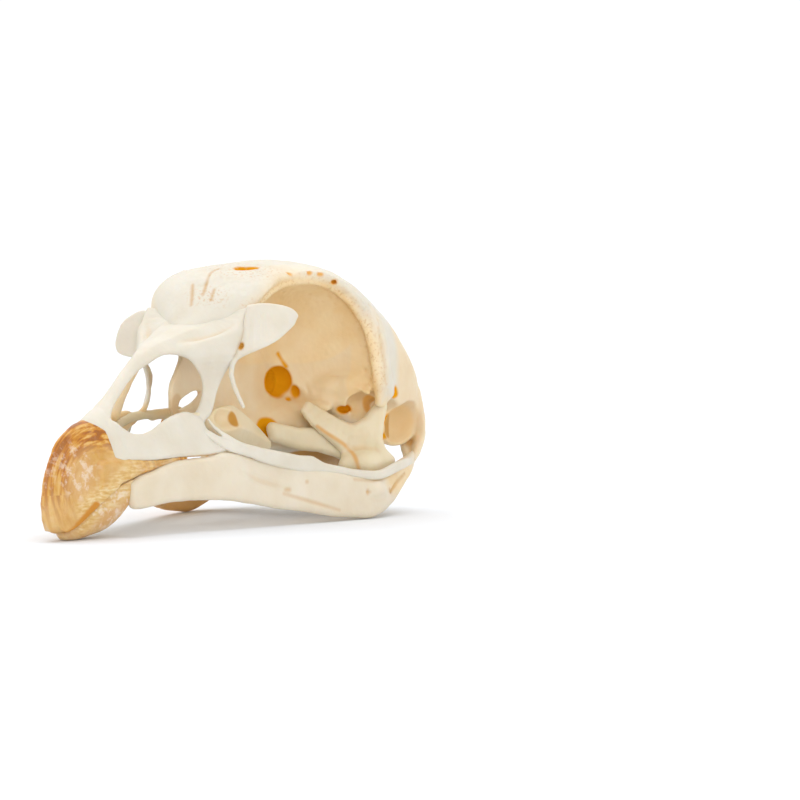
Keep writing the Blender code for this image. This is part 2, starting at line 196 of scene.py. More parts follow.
class Clay:
    """The left half of a bone, as distances in millimetres from its surface."""

    def __init__(self, low, high, grain):
        self.low = np.array(low, float)
        self.grain = grain
        count = np.round((np.array(high) - self.low) / grain).astype(int) + 1
        self.field = np.full(count, FAR, np.float32)

    def around(self, low, high, margin):
        """The part of the block near a shape, and where its points are."""
        first = np.floor((low - margin - self.low) / self.grain).astype(int)
        last = np.ceil((high + margin - self.low) / self.grain).astype(int) + 1
        first = np.clip(first, 0, self.field.shape)
        last = np.clip(last, first, self.field.shape)
        part = tuple(slice(a, b) for a, b in zip(first, last))
        places = [
            (np.arange(a, b) * self.grain + start).astype(np.float32)
            for a, b, start in zip(first, last, self.low)
        ]
        return part, np.ix_(*places)

    def felt(self, shape, margin):
        """Distances from a shape, and the part of the block that they cover."""
        low = np.min([piece[0] for piece in shape], axis=0)
        high = np.max([piece[1] for piece in shape], axis=0)
        part, places = self.around(low, high, margin)
        near = np.full([len(p.ravel()) for p in places], FAR, np.float32)
        for piece_low, piece_high, distance in shape:
            own, own_places = self.around(piece_low, piece_high, margin)
            spot = tuple(slice(o.start - p.start, o.stop - p.start) for o, p in zip(own, part))
            if near[spot].size:
                near[spot] = np.minimum(near[spot], distance(*own_places))
        return part, near

    def add(self, shape, ease=0.0, way=1):
        """Lays a shape on, eased into the rest by so many millimetres."""
        part, near = self.felt(shape, ease + 1)
        old = way * self.field[part]
        soft = np.maximum(ease - np.abs(old - near), 0) ** 2 / max(4 * ease, 1e-6)
        self.field[part] = way * (np.minimum(old, near) - soft)

    def carve(self, shape, ease=0.0):
        """Takes a shape away, which is adding it to what isn't bone."""
        self.add(shape, ease, way=-1)

    def bore(self, holes, ease):
        """Takes away a set of round hollows, each a centre and half sizes."""
        for hole in holes:
            self.carve(lump(*hole), ease)

    def soften(self, times=2):
        """Takes the sharpness off, as a wet finger would."""
        for axis in (0, 1, 2) * times:
            ends = [(1, 1) if k == axis else (0, 0) for k in range(3)]
            wide = np.moveaxis(np.pad(self.field, ends, mode="edge"), axis, 0)
            self.field = np.moveaxis(wide[:-2] + 2 * wide[1:-1] + wide[2:], 0, axis) / 4

    def open_out(self):
        """Adds the bird's right half, a mirror of the left."""
        self.field = np.concatenate((self.field[:0:-1], self.field))
        self.low[0] = -self.grain * (self.field.shape[0] // 2)

    def pit(self, low, high, count, sizes, seed):
        """Presses small pits into the surface at chance places inside a box."""
        part, places = self.around(np.array(low), np.array(high), 0)
        near = np.argwhere(np.abs(self.field[part]) < self.grain / 2)
        chance = np.random.default_rng(seed)
        for row in near[chance.permutation(len(near))[:count]]:
            centre = [p.ravel()[k] for p, k in zip(places, row)]
            self.carve(lump(centre, chance.uniform(*sizes, 3)), 0.1)

    def read(self, field, places):
        """The value of a block at any places."""
        spots = (places - self.low) / self.grain
        first = np.clip(np.floor(spots).astype(int), 0, np.array(field.shape) - 2)
        part = spots - first
        total = np.zeros(len(places))
        for corner in np.ndindex(2, 2, 2):
            share = np.prod(np.where(corner, part, 1 - part), axis=1)
            total += share * field[tuple((first + corner).T)]
        return total

    def hollowness(self, places, reach):
        """How far each place lies in a dip: 0.5 on a plane, more in a hollow, less on an edge."""
        soft = np.clip(0.5 - self.field / self.grain, 0, 1)
        half = max(1, round(reach / self.grain))
        for axis in range(3):
            soft = np.moveaxis(soft, axis, 0)
            total = np.cumsum(np.pad(soft, ((half + 1, half), (0, 0), (0, 0))), axis=0)
            soft = (total[2 * half + 1 :] - total[: -2 * half - 1]) / (2 * half + 1)
            soft = np.moveaxis(soft, 0, axis)
        return self.read(soft, places)

    def skin(self):
        """The surface of the clay, as corners and four-sided faces that face out."""
        solid = self.field < 0
        size = np.array(self.field.shape) - 1
        corners = list(np.ndindex(2, 2, 2))
        filled = np.zeros(size, np.uint8)
        for i, j, k in corners:
            filled += solid[i : size[0] + i, j : size[1] + j, k : size[2] + k]
        cells = np.argwhere((filled > 0) & (filled < 8))
        number = np.full(size, -1, np.int32)
        number[tuple(cells.T)] = np.arange(len(cells))
        total = np.zeros((len(cells), 3))
        count = np.zeros(len(cells))
        for start in corners:
            for axis in (k for k in range(3) if not start[k]):
                end = np.add(start, np.eye(3, dtype=int)[axis])
                a = self.field[tuple((cells + start).T)]
                b = self.field[tuple((cells + end).T)]
                crossed = (a < 0) != (b < 0)
                total[crossed] += start
                total[crossed, axis] += a[crossed] / (a[crossed] - b[crossed])
                count[crossed] += 1
        places = self.low + self.grain * (cells + total / count[:, None])
        faces = []
        for axis in range(3):
            one, two = (axis + 1) % 3, (axis + 2) % 3
            ahead = np.moveaxis(solid, axis, 0)
            found = np.argwhere(np.moveaxis(ahead[:-1] != ahead[1:], 0, axis))
            kept = (found[:, [one, two]] > 0) & (found[:, [one, two]] < size[[one, two]])
            found = found[kept.all(axis=1)]
            ring = []
            for u, v in ((0, 0), (1, 0), (1, 1), (0, 1)):
                cell = found.copy()
                cell[:, one] -= u
                cell[:, two] -= v
                ring.append(number[tuple(cell.T)])
            ring = np.stack(ring, axis=1)
            outward = solid[tuple(found.T)]
            faces.append(np.where(outward[:, None], ring, ring[:, ::-1]))
        return places, np.concatenate(faces)


def smoothed(places, faces):
    """Takes the steps out of a surface without shrinking it."""
    start = faces.ravel()
    end = np.roll(faces, -1, axis=1).ravel()
    count = np.bincount(start, minlength=len(places))
    for step in (0.5, -0.52, 0.5, -0.52):
        middle = [np.bincount(start, places[end, k], len(places)) / count for k in range(3)]
        places = places + step * (np.stack(middle, axis=1) - places)
    return places


def rough(places, size, seed):
    """Natural unevenness between about -1 and 1, with its largest swells this many mm across."""
    spots = places / size + seed * 17.3
    return np.array([noise.fractal(spot, 0.9, 2.0, 4) for spot in spots.tolist()])


def closeness(places, shapes, reach):
    """1 inside any of the shapes, falling to 0 at some distance outside them."""
    found = np.zeros(len(places))
    for shape in shapes:
        for low, high, distance in shape:
            found = np.maximum(found, np.clip(1 - distance(*places.T) / reach, 0, 1))
    return found


# How far, in mm, each kind of mark fades out beyond the shapes that carry it. Amber is
# painted glow and warm shade in holes, slits, seams and gaps. The ochre mark is partly a
# stain along seams and partly painted shade in grooves, creases and holes. On bone, tan is
# painted warm shade in hollows and on inner faces; on horn it is the pale edge. Rough is
# spongy or flaking.
MARKS = {"amber": 0.35, "rust": 0.3, "tan": 1.6, "rough": 1.2}


def faint(shape, share, kind="rust"):
    """A mark that only reaches a share of its full strength."""
    edge = MARKS[kind]

    def softer(distance):
        return lambda *place: edge - share * np.clip(edge - distance(*place), 0, edge)

    return [(low, high, softer(distance)) for low, high, distance in shape]


def egg_marks(rows, kind="rust"):
    """Egg-shaped marks from rows of centre, half sizes and share of full strength."""
    return [faint(lump(centre, halves), share, kind) for centre, halves, share in rows]


def cast(clay, name, unevenness=0.06, swell=3.0, seed=1, side=1, **marks):
    """A finished piece from its clay, with masks for its colour.

    A side of -1 gives the mirror image. The marks are lists of shapes, by kind. Two more
    masks follow from the clay itself: hollow for small dips, and depth for deep hollows. The
    bone finish darkens both as painted shade.
    """
    places, faces = clay.skin()
    places = smoothed(places, faces)
    masks = {"hollow": clay.hollowness(places, 0.6), "depth": clay.hollowness(places, 2.4)}
    for title, edge in MARKS.items():
        masks[title] = closeness(places, marks.get(title, ()), edge)
    places[:, 0] *= side
    faces = faces[:, ::side]
    mesh = bpy.data.meshes.new(name)
    mesh.vertices.add(len(places))
    mesh.loops.add(faces.size)
    mesh.polygons.add(len(faces))
    mesh.loops.foreach_set("vertex_index", faces.ravel())
    mesh.polygons.foreach_set("loop_start", np.arange(0, faces.size, 4))
    ready = (places - (0, MIDDLE, 0)) * MM
    mesh.vertices.foreach_set("co", ready.ravel())
    mesh.update(calc_edges=True)
    normals = np.empty(len(places) * 3)
    mesh.vertex_normals.foreach_get("vector", normals)
    lift = unevenness * rough(places, swell, seed)
    ready = ready + normals.reshape(-1, 3) * lift[:, None] * MM
    mesh.vertices.foreach_set("co", ready.ravel())
    for title, value in masks.items():
        mesh.attributes.new(title, "FLOAT", "POINT").data.foreach_set("value", value)
    mesh.update()
    mesh.shade_smooth()
    bone = bpy.data.objects.new(name, mesh)
    bpy.context.scene.collection.objects.link(bone)
    return bone


BRAINCASE = (
    (50, 9.4, 30, 34.9), (54, 12, 25, 35.5), (58, 14.5, 19.5, 35.6), (61, 15.2, 14.5, 35.2),
    (64, 15.4, 10.5, 34.2), (67, 15.3, 9, 32.6), (70, 15, 8.6, 30.6), (74, 14.3, 8.4, 27.2),
    (77, 13.2, 8.6, 23.8), (79.5, 11, 9.4, 20), (81.2, 7.8, 10.8, 17), (82, 4.4, 12.2, 15),
)
SKULL_BASE = (
    (50, 1, 10.6, 14), (53, 1.8, 10, 14), (57, 3.6, 9, 16), (60, 5.6, 7.8, 17),
    (64, 7.4, 6.6, 18), (70, 8, 6, 18), (75, 7.6, 6.4, 18), (80, 5.4, 8.6, 16),
)
FOREHEAD = (
    (33.2, 1.6, 25, 26.7), (34.4, 2.8, 24.5, 27.9), (35.6, 3.8, 24.5, 29.4),
    (36.8, 5.4, 24.5, 30.8), (38, 7.3, 25, 32.2), (39.4, 8.6, 25.5, 33.6),
    (41, 9, 27, 34.5), (44, 9, 30, 35.1), (48, 9.4, 32, 35.3),
    (52, 10.8, 31.8, 35.5), (56, 13.2, 29, 35.6),
)
EYE_SOCKET = ((12.5, 48.6, 21.2), (14.5, 13.6, 12.6))
EAR_HOLLOW = ((16.8, 72.2, 12.2), (6.8, 6.2, 3.8))
QUADRATE_BAY = ((13.8, 65.3, 9.8), (5.8, 6, 7))
SEPTUM_EDGE = (
    (34.4, 24.2), (32.6, 21.9), (31.5, 20.4), (30.8, 19.4), (30.5, 18.3), (30.6, 17),
    (30.6, 16.2), (31.2, 15.2), (33, 15.2), (43, 15.6), (48.4, 14.6), (55.2, 12),
    (60, 10.4), (66, 10), (66, 29), (54, 34), (46, 33.6), (41, 30.6),
    (37.6, 27.6),
)
EYE_RIM = (
    (7.2, 38.6, 29, 0.6), (7.8, 42.3, 31, 0.6), (8, 45.2, 32.3, 0.6),
    (8.3, 48.2, 33, 0.6), (9.4, 51.2, 33.3, 0.6), (10.8, 54.4, 32.6, 0.6),
    (12.1, 57.2, 31, 0.6), (13.1, 59.4, 28.6, 0.6), (13.9, 60.9, 25.6, 0.6),
    (14.4, 61.7, 22, 0.65), (14.6, 62.2, 18.8, 0.7),
)
RIM_BAND = (
    (8.2, 47.4, 32.8, 9.4, 49.2, 34.2, 0.4), (9.6, 51.5, 33.3, 10.3, 51.2, 34.3, 0.4),
    (10.9, 53.9, 32.9, 11.9, 54.1, 33.5, 0.45), (12, 56.4, 31.8, 13.2, 57.2, 31.5, 0.45),
    (13.1, 59, 29.1, 14, 60.2, 29, 0.5), (13.9, 60.8, 25.6, 14.7, 61.8, 25.6, 0.5),
    (14.4, 61.6, 22, 15.1, 63, 22, 0.5), (14.6, 62.1, 18.8, 15, 64.6, 18.8, 0.5),
)
BEHIND_THE_EYE = (
    (14.8, 62.1, 18.6, 14.3, 66.1, 18.6, 0.6), (14.5, 62.6, 17.2, 14.1, 65.6, 16.8, 0.55),
    (14, 63.4, 16, 13.8, 65, 15.8, 0.5),
)
EAR_FLANGE = (
    (9.8, 77.2, 16.8, 11.8, 77.3, 16.9, 13, 76.3, 17.2, 0.7),
    (9, 78.2, 15, 11.4, 78.4, 15, 13.2, 77.1, 15, 0.6),
    (8.6, 78.8, 13, 11.2, 79, 13, 13.3, 77.7, 13, 0.6),
    (8.6, 78.4, 11, 11.2, 78.8, 11, 13.4, 77.4, 11, 0.6),
    (10.4, 77.6, 9.8, 11.9, 78, 9.6, 13.4, 76.7, 9.5, 0.6),
    (11.3, 76.4, 8.6, 12.4, 76.9, 8.4, 13.4, 75.7, 8.3, 0.6),
    (12, 75.4, 7.8, 12.8, 75.4, 7.6, 13.4, 74.8, 7.6, 0.5),
)
SEPTUM_GAP = (
    (32.2, 15.7), (32.9, 17), (34.3, 17.6), (35.8, 18.1), (37.5, 18.3), (38.2, 17.9),
    (37.1, 17.2), (35.8, 16.5), (34.3, 16), (33.2, 15.8),
)
BRAIN_HOLLOW = ((0, 69.8, 18.3), (10.5, 7.6, 7))
EAR_FLOOR = ((11, 73.9, 12.8), (2.2, 5.2, 3.4))
EAR_BOWL = ((14.8, 72.7, 12.3), (4.2, 4.7, 3.6))
RIM_GROOVE = (
    (15.1, 61.5, 26.5, 0.15), (15.4, 62.1, 23.6, 0.25), (15.6, 62.7, 21, 0.25),
    (15.6, 63.1, 18.6, 0.15),
)
RIM_RIDGE = (
    (14.9, 62.4, 27.6, 0.2), (15.2, 62.9, 25, 0.3), (15.3, 63.6, 22.1, 0.35),
    (15.2, 64.5, 19.2, 0.35), (14.8, 65.3, 17, 0.25),
)
NECK_HOLE = ((0, 84, 13.6, 3), (0, 74, 13.8, 3))
NECK_KNOB = ((0, 80.6, 9.2), (1.5, 1.4, 1.2))
KEEL = (
    (0, 32.6, 14.9, 0.5), (0, 36, 15.5, 0.7), (0, 42, 15.2, 0.8), (0, 48, 14, 0.9),
    (0, 54, 12.2, 1.1), (0, 60, 10.6, 1.6),
)
BASE_SIDE = ((7.5, 67.5, 12.5), (4.6, 5.2, 4.8))
CHEEK_RECESS = ((12.3, 62.8, 15.8), (2.8, 2.4, 1.9))
CHEEK_LEDGE = (
    (9.6, 61.8, 19, 10.8, 61.4, 18.2, 0.35), (11.2, 62, 19, 12.2, 61.4, 18, 0.3),
    (12.8, 62.4, 19, 13.4, 61.6, 17.4, 0.3),
)
SOCKET_SWELLS = (
    ((9.3, 62, 18.5), (2.4, 1.2, 1.3)), ((6.9, 61, 18.3), (1.2, 0.9, 0.9)),
    ((5.8, 60.2, 15.4), (2.4, 1, 0.9)),
)

# The holes for nerves and vessels, each a centre and half sizes or a limb
OPTIC_HOLE = ((1.3, 57.2, 18.95), (1.65, 2.3, 2.15))
VESSEL_SLITS = (
    ((1.6, 56.7, 22.9, 0.1), (1.9, 57.3, 22, 0.06), (2.2, 57.9, 21.1, 0.16)),
    ((4.1, 59.3, 19.4, 0.12), (4.6, 59.5, 18.4, 0.26), (4.9, 59.6, 17.3, 0.22)),
    ((6.8, 60.6, 19.6, 0.1), (8.2, 61.2, 19.7, 0.13), (10.4, 61.7, 19.7, 0.08)),
    ((14.8, 66.3, 18.3, 0.15), (14.8, 67.2, 17, 0.35), (14.6, 66.2, 15.8, 0.3),
     (14.2, 65.9, 14.4, 0.2)),
)
NERVE_HOLES = (
    ((2.9, 59, 17.5), (0.6, 0.9, 0.85)), ((2.1, 58.7, 16.5), (0.22, 0.3, 0.2)),
    ((9, 62.4, 15.05), (0.8, 1.25, 0.55)),
    ((12.4, 69.8, 13.2), (0.8, 1, 0.9)), ((12, 69.6, 11), (0.7, 0.9, 0.5)),
)
ROOF_SLIT = ((3.6, 44.7, 35), (1.35, 2.2, 0.9))
ROOF_GROOVES = (
    ((-1.2, 38.5, 32.6, 0.08), (-0.6, 37.4, 31.4, 0.12), (0.1, 36, 29.9, 0.06)),
    ((0.4, 42.6, 34.8, 0.08), (0.3, 41.1, 34.4, 0.12), (0.9, 38.6, 32.6, 0.12),
     (1.2, 37.2, 31.3, 0.06)),
    ((2.5, 38, 32, 0.08), (2.7, 36.9, 30.6, 0.06)),
)
RIM_HOLES = (
    ((10, 50.5, 34.3), (0.7, 0.25, 0.2)), ((11.1, 52, 34.1), (0.35, 0.3, 0.15)),
    ((11.9, 54.4, 33.1), (0.35, 0.6, 0.3)), ((8.6, 47.6, 34.1), (0.3, 0.2, 0.15)),
)

# Two corners of a box, how many pits to press into the bone there, and their half sizes
PITTED_BONE = (
    ((-4, 38, 28), (9, 50, 37), 420, (0.08, 0.22)), ((5, 44, 30), (15, 60, 36), 220, (0.1, 0.24)),
    ((12, 56, 16), (16, 63, 33), 220, (0.12, 0.3)),
)

# Marks on the braincase, each a centre, half sizes and share of full strength
# Painted glow and warm shade, in amber, at three spots in and behind the eye socket
PAINTED_GLOW = (
    ((11.6, 65.3, 16), (0.9, 0.8, 1.5), 0.7), ((1.8, 53, 12.7), (1.2, 2.1, 1.3), 1),
    ((0, 57.2, 18.95), (1.5, 2.1, 1.95), 1),
)
# Painted shade, in ochre: the septum gap, under the skull base and in the ear
PAINTED_NOOK_SHADE = (
    ((0, 31.9, 16.6), (1, 1.2, 1.4), 0.35), ((4, 62.5, 7.6), (3.4, 8, 1.6), 0.9),
    ((10, 71.2, 12.4), (1.6, 1.4, 2.4), 0.9), (*EAR_BOWL, 0.25),
)
# Painted warm shade, in tan: eye sockets, ear hollows, socket rear wall, septum, under ear flange
PAINTED_WARM_SHADE = (
    ((6, 51.5, 27), (8.6, 13, 7), 1), ((-6, 51.5, 27), (8.6, 13, 7), 1),
    ((6, 50.5, 19.5), (8.6, 14, 11), 0.75), ((-6, 50.5, 19.5), (8.6, 14, 11), 0.75),
    ((11, 72.5, 12.4), (2.6, 4.6, 3.2), 1), ((-11, 72.5, 12.4), (2.6, 4.6, 3.2), 1),
    ((11, 64.5, 16), (3, 2.4, 2.2), 1), ((13.5, 73, 21), (4, 6, 9), 0.6),
    ((12.6, 60.8, 20.5), (2.2, 3.4, 8), 1), ((0, 35.5, 19), (2, 5.5, 7), 0.6),
    ((13, 77.5, 9), (4, 4, 5), 0.6),
)
SPONGY_BONE = (((1.5, 38.6, 30.4), (3.2, 1.8, 1.4), 1), ((3, 45, 34), (5, 4.5, 2), 1))

head = Clay((0, 28, 5), (18, 84, 38), 0.16)
head.add(loft(BRAINCASE))
head.add(loft(FOREHEAD, 2.2), 2)
head.bore((EYE_SOCKET, EAR_HOLLOW, QUADRATE_BAY), 0.5)
head.add(loft(SKULL_BASE, 2.2), 1.5)
head.add(lump(*BASE_SIDE), 1.0)
for swell in SOCKET_SWELLS:
    head.add(lump(*swell), 1.4)
head.carve(lump(*CHEEK_RECESS), 0.3)
head.add(plate(CHEEK_LEDGE), 0.3)
head.add(wall(SEPTUM_EDGE, 0.35), 3.0)
head.add(limb(KEEL), 1.0)
head.add(limb(EYE_RIM), 0.5)
head.add(plate(RIM_BAND), 0.4)
head.add(plate(BEHIND_THE_EYE), 0.8)
head.add(limb(RIM_RIDGE), 0.5)
head.carve(limb(RIM_GROOVE), 0.3)
head.add(plate(EAR_FLANGE), 0.6)
head.add(lump(*NECK_KNOB), 0.6)
head.add(lump(*EAR_FLOOR), 0.8)
head.carve(lump(*EAR_BOWL), 0.4)
head.carve(wall(SEPTUM_GAP, 1.5))
head.carve(lump(*BRAIN_HOLLOW))
head.carve(limb(NECK_HOLE), 0.3)
head.bore((OPTIC_HOLE, *NERVE_HOLES, *RIM_HOLES), 0.15)
for slit in VESSEL_SLITS:
    head.carve(limb(slit), 0.1)
head.open_out()
head.carve(lump(*ROOF_SLIT), 0.1)
for groove in ROOF_GROOVES:
    head.carve(limb(groove), 0.3)
for seed, patch in enumerate(PITTED_BONE, 1):
    head.pit(*patch, seed)
head.soften()
# Amber paints glow and warm shade into the holes and slits, ochre paints shade into the grooves and
# nooks, and tan paints warm shade into the hollows
braincase = cast(
    head, "braincase", seed=1,
    amber=[
        *(lump(*hole) for hole in (OPTIC_HOLE, *NERVE_HOLES, ROOF_SLIT)),
        *(lump((-x, s, z), halves) for (x, s, z), halves in (OPTIC_HOLE, *NERVE_HOLES)),
        limb(VESSEL_SLITS[0]), limb(VESSEL_SLITS[3]),
        *egg_marks(PAINTED_GLOW, "amber"), *egg_marks([(*hole, 0.8) for hole in RIM_HOLES], "amber"),
    ],
    rust=[
        *(faint(limb(groove), 0.5) for groove in ROOF_GROOVES), faint(limb(RIM_GROOVE), 0.2),
        *egg_marks(PAINTED_NOOK_SHADE),
    ],
    tan=egg_marks(PAINTED_WARM_SHADE, "tan"),
    rough=[*egg_marks(SPONGY_BONE, "rough"), limb(EYE_RIM)],
)


def linear(colour):
    """An sRGB hex colour as the shader's linear numbers."""
    parts = (int(colour[k : k + 2], 16) / 255 for k in (1, 3, 5))
    return (*(p / 12.92 if p <= 0.04045 else ((p + 0.055) / 1.055) ** 2.4 for p in parts), 1)


def feed(tree, made, **inputs):
    """Gives a node its values and links.

    An input goes by its socket's name, or by an underscore and its number.
    """
    for key, value in inputs.items():
        socket = made.inputs[int(key[1:]) if key[1:].isdigit() else key.replace("_", " ")]
        if isinstance(value, bpy.types.NodeSocket):
            tree.links.new(value, socket)
        else:
            socket.default_value = value


def node(tree, kind, settings=(), stops=(), **inputs):
    """Adds a node with its settings, ramp stops and inputs, and gives its outputs."""
    made = tree.nodes.new("ShaderNode" + kind)
    for key, value in dict(settings).items():
        setattr(made, key, value)
    feed(tree, made, **inputs)
    if stops:
        points = made.color_ramp.elements
        while len(points) < len(stops):
            points.new(0.5)
        for point, (position, colour) in zip(points, stops):
            point.position = position
            point.color = linear(colour)
    return made.outputs


def product(tree, one, other):
    """The product of two values."""
    return node(tree, "Math", {"operation": "MULTIPLY"}, _0=one, _1=other)["Value"]


def layered(tree, colour, layers):
    """A colour with more laid over it, each by its weight."""
    for weight, tone in layers:
        colour = node(tree, "Mix", {"data_type": "RGBA"}, _0=weight, _6=colour, _7=tone)[2]
    return colour


def blank(name):
    """A new material with its tree of nodes and its surface."""
    material = bpy.data.materials.new(name)
    material.use_nodes = True
    return material, material.node_tree, material.node_tree.nodes["Principled BSDF"]


def dry_bone(name, shade, light):
    """Bone that was soaked clean and dried: matt and chalky, with warm shade painted into its
    hollows.

    Light sinks about a millimetre into it, so its edges look soft and its thin walls glow.
    """
    material, tree, shader = blank(name)
    spot = node(tree, "TexCoord")["Object"]
    # Patches of tone are 5.6 mm across and the grain is 0.7 mm. The pores of spongy bone are
    # about 0.1 mm, and drawn four times as coarse, to show.
    clouds, grain, specks = (
        node(tree, "TexNoise", Vector=spot, Scale=1 / (width * MM), Detail=detail)["Fac"]
        for width, detail in ((5.56, 5.0), (0.714, 4.0), (0.385, 3.0))
    )
    marks = {
        title: node(tree, "Attribute", {"attribute_name": title})["Fac"]
        for title in ("hollow", "depth", *MARKS)
    }
    cream, warm_shade_tone, low, deep, dots = (
        node(tree, "ValToRGB", stops=stops, Fac=factor)["Color"]
        for factor, stops in (
            (clouds, ((0.3, shade), (0.7, light))),
            (clouds, ((0.3, "#E8C68E"), (0.7, "#F0DAB0"))),
            (marks["hollow"], ((0.52, "#000000"), (0.74, "#FFFFFF"))),
            (marks["depth"], ((0.52, "#000000"), (0.85, "#FFFFFF"))),
            (specks, ((0.54, "#000000"), (0.66, "#C0C0C0"))),
        )
    )
    pores = product(tree, dots, marks["rough"])
    # Painted shade: tan warms the hollows and inner faces, the hollow and depth masks darken
    # dips and deep hollows, and ochre darkens grooves, creases and holes and stains seams.
    # Amber paints the glow and warm shade in holes and gaps.
    layers = (
        (marks["tan"], warm_shade_tone), (low, linear("#D6AC6C")), (deep, linear("#E4C290")),
        (pores, linear("#CFA068")), (marks["rust"], linear("#C48C2C")),
        (marks["amber"], linear("#E09A14")),
    )
    relief = node(tree, "Math", {"operation": "MULTIPLY_ADD"}, _0=pores, _1=-0.8, _2=grain)["Value"]
    bump = node(tree, "Bump", Height=relief, Strength=0.3, Distance=0.2 * MM)["Normal"]
    # Light scatters and glints off the chalky bone, but not where amber glow is painted, so
    # that colour shows plain
    chalky = node(tree, "Math", {"operation": "SUBTRACT"}, _0=1.0, _1=marks["amber"])["Value"]
    feed(
        tree, shader, Base_Color=layered(tree, cream, layers), Normal=bump, Roughness=0.5,
        Subsurface_Weight=product(tree, chalky, 0.2), Subsurface_Radius=(1.0, 0.55, 0.25),
        Subsurface_Scale=MM, Specular_IOR_Level=product(tree, chalky, 0.5),
    )
    return material


bone_look = dry_bone("dried bone", "#D8CFBC", "#E0DACC")


def fitted(piece, look, slot, *nodes):
    """Gives a piece its finish, and puts it in the place of the solid that it stands for."""
    piece.data.materials.append(look)
    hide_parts(*nodes)
    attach(piece, "root")


fitted(braincase, bone_look, "bone", "neurocranium")


# ------------------------------------------------------------
# The upper beak's bone, hung from the forehead by a thin springy bend. A bar of bone runs
# down each side round the nostril, and the front is the core that the horn sits on.

BEAK = (
    (0.4, 0.3, 4.9, 6.4), (0.75, 0.5, 4.2, 8.6), (1.4, 0.75, 3.2, 9.9), (2.2, 1.1, 2.2, 11.1),
    (3.3, 1.6, 1.4, 12.6), (5, 2.2, 2, 13.65), (7, 2.9, 3.55, 14.6), (9, 3.5, 5, 15.1),
    (11, 4.1, 6.4, 15.8), (13.5, 4.6, 7.9, 17.1), (15, 4.8, 8.4, 18),
)
BEAK_CORE = (
    (4.2, 0.7, 5.4, 8.8), (5, 1, 5.6, 10.2), (7, 1.5, 6.6, 11.9), (9, 2, 7.6, 13),
    (13, 3, 9.4, 15.4),
)
BEAK_ROOF = (
    (0, 10.8, 15.1, 1.2, 11.2, 14.6, 2.4, 12.6, 13.2, 0.55),
    (0, 13.4, 16.6, 0.6, 13.5, 16.4, 1.3, 13.4, 15.7, 0.45),
    (0, 16.4, 18.6, 0.35, 16.4, 18.5, 0.6, 16.4, 18.2, 0.42),
    (0, 19.9, 21.4, 0.3, 19.9, 21.3, 0.6, 19.9, 20.8, 0.42),
    (0, 23, 23.3, 0.5, 22.9, 23.1, 0.9, 22.8, 22.4, 0.45),
    (0, 26.3, 24.8, 1.1, 26.2, 24.6, 1.8, 26, 23.7, 0.45),
    (0, 29, 25.7, 1.8, 29, 25.4, 3, 28.6, 23.8, 0.5),
    (0, 32, 26.6, 2.6, 32, 26.3, 4.4, 31.6, 23.8, 0.5),
    (0, 34.6, 26.9, 3.4, 34.6, 26.9, 6.2, 34.2, 24.6, 0.5),
    (0, 36.2, 27, 4, 36.6, 27.7, 7.4, 35.9, 26.6, 0.5),
    (0, 37.4, 27.2, 4.2, 38.1, 28.5, 7.8, 37.8, 29.2, 0.42),
)
NOSTRIL_BAR = (
    (3.2, 28.8, 24, 7.9, 36.2, 26.4, 0.5), (3.9, 30, 22.9, 7.5, 34.8, 23.6, 0.42),
    (4.2, 31.1, 21.6, 6.6, 34.8, 22, 0.34), (4.4, 32, 20.2, 5.6, 34.7, 20.3, 0.3),
    (4.4, 32.3, 18.5, 5.3, 33.8, 18.6, 0.3), (4.3, 32, 17.2, 5.3, 33.1, 17.2, 0.3),
    (4.4, 30.9, 15.8, 5.2, 32.4, 15.8, 0.35), (4.6, 28.8, 14.8, 5.2, 30.8, 14.8, 0.4),
    (4.8, 26.4, 13.8, 5.5, 28.9, 13.6, 0.45), (5, 25, 12.6, 6, 29.2, 12.4, 0.5),
)
BEAK_EDGE = (
    (2.6, 13, 14.4, 3.9, 12.6, 10.4, 0.55), (3.1, 14, 13.6, 4.3, 14, 10.3, 0.55),
    (3.7, 15.4, 12.9, 4.9, 15.9, 10.25, 0.55), (4.1, 17.6, 12.8, 5.4, 18, 10.3, 0.55),
    (4.3, 19.8, 13.3, 5.9, 20.4, 10.4, 0.55), (4.5, 22.3, 14.4, 6.2, 22.3, 10.5, 0.55),
    (4.6, 25.4, 15.2, 6.7, 25.4, 10.5, 0.55), (4.8, 27.6, 15.3, 7.3, 28.4, 10.5, 0.5),
    (5.2, 29, 14.4, 7.6, 30.2, 10.6, 0.45), (7, 30.2, 11.9, 7.9, 31.8, 10.8, 0.4),
    (8, 32.4, 11, 8.3, 33.4, 10.7, 0.25),
)


def vault(rows, power=1.7, grow=0.0):
    """A body that is flat on one side and narrows to a rounded ridge on the other.

    A row is station, half width, height of the flat side and height of the ridge.
    """
    fine = eased([(r[0], 0, 0, *r[1:]) for r in rows], 0.4)[:, [0, 3, 4, 5]]
    heights = fine[:, 2:]
    wide = fine[:, 1].max() + grow
    low = np.array((-wide, fine[0, 0] - grow, heights.min() - grow))
    high = np.array((wide, fine[-1, 0], heights.max() + grow))

    def distance(x, s, z):
        width, flat, ridge = (np.interp(s, fine[:, 0], fine[:, k]) for k in (1, 2, 3))
        way = np.sign(ridge - flat)
        flat = flat - way * grow
        rise = np.maximum(np.abs(ridge - flat) + grow, 0.05)
        up = (z - flat) * way
        around = oval(x, np.maximum(up, 0), width + grow, rise, power)
        ends = np.maximum(fine[0, 0] - grow - s, s - fine[-1, 0])
        return np.maximum(np.maximum(around, -up), ends)

    return [(low, high, distance)]


def slab(front, back, slant=0.0):
    """Everything between two stations, measured at the height where the horn ends on top.

    Both faces lean back towards the table by the slant.
    """

    def distance(x, s, z):
        level = s - slant * (HORN_TOP - z)
        return np.maximum(front - level, level - back)

    low = np.array((-20.0, front - 16, -1.0))
    return [(low, np.array((20.0, back + 5, 40.0)), distance)]


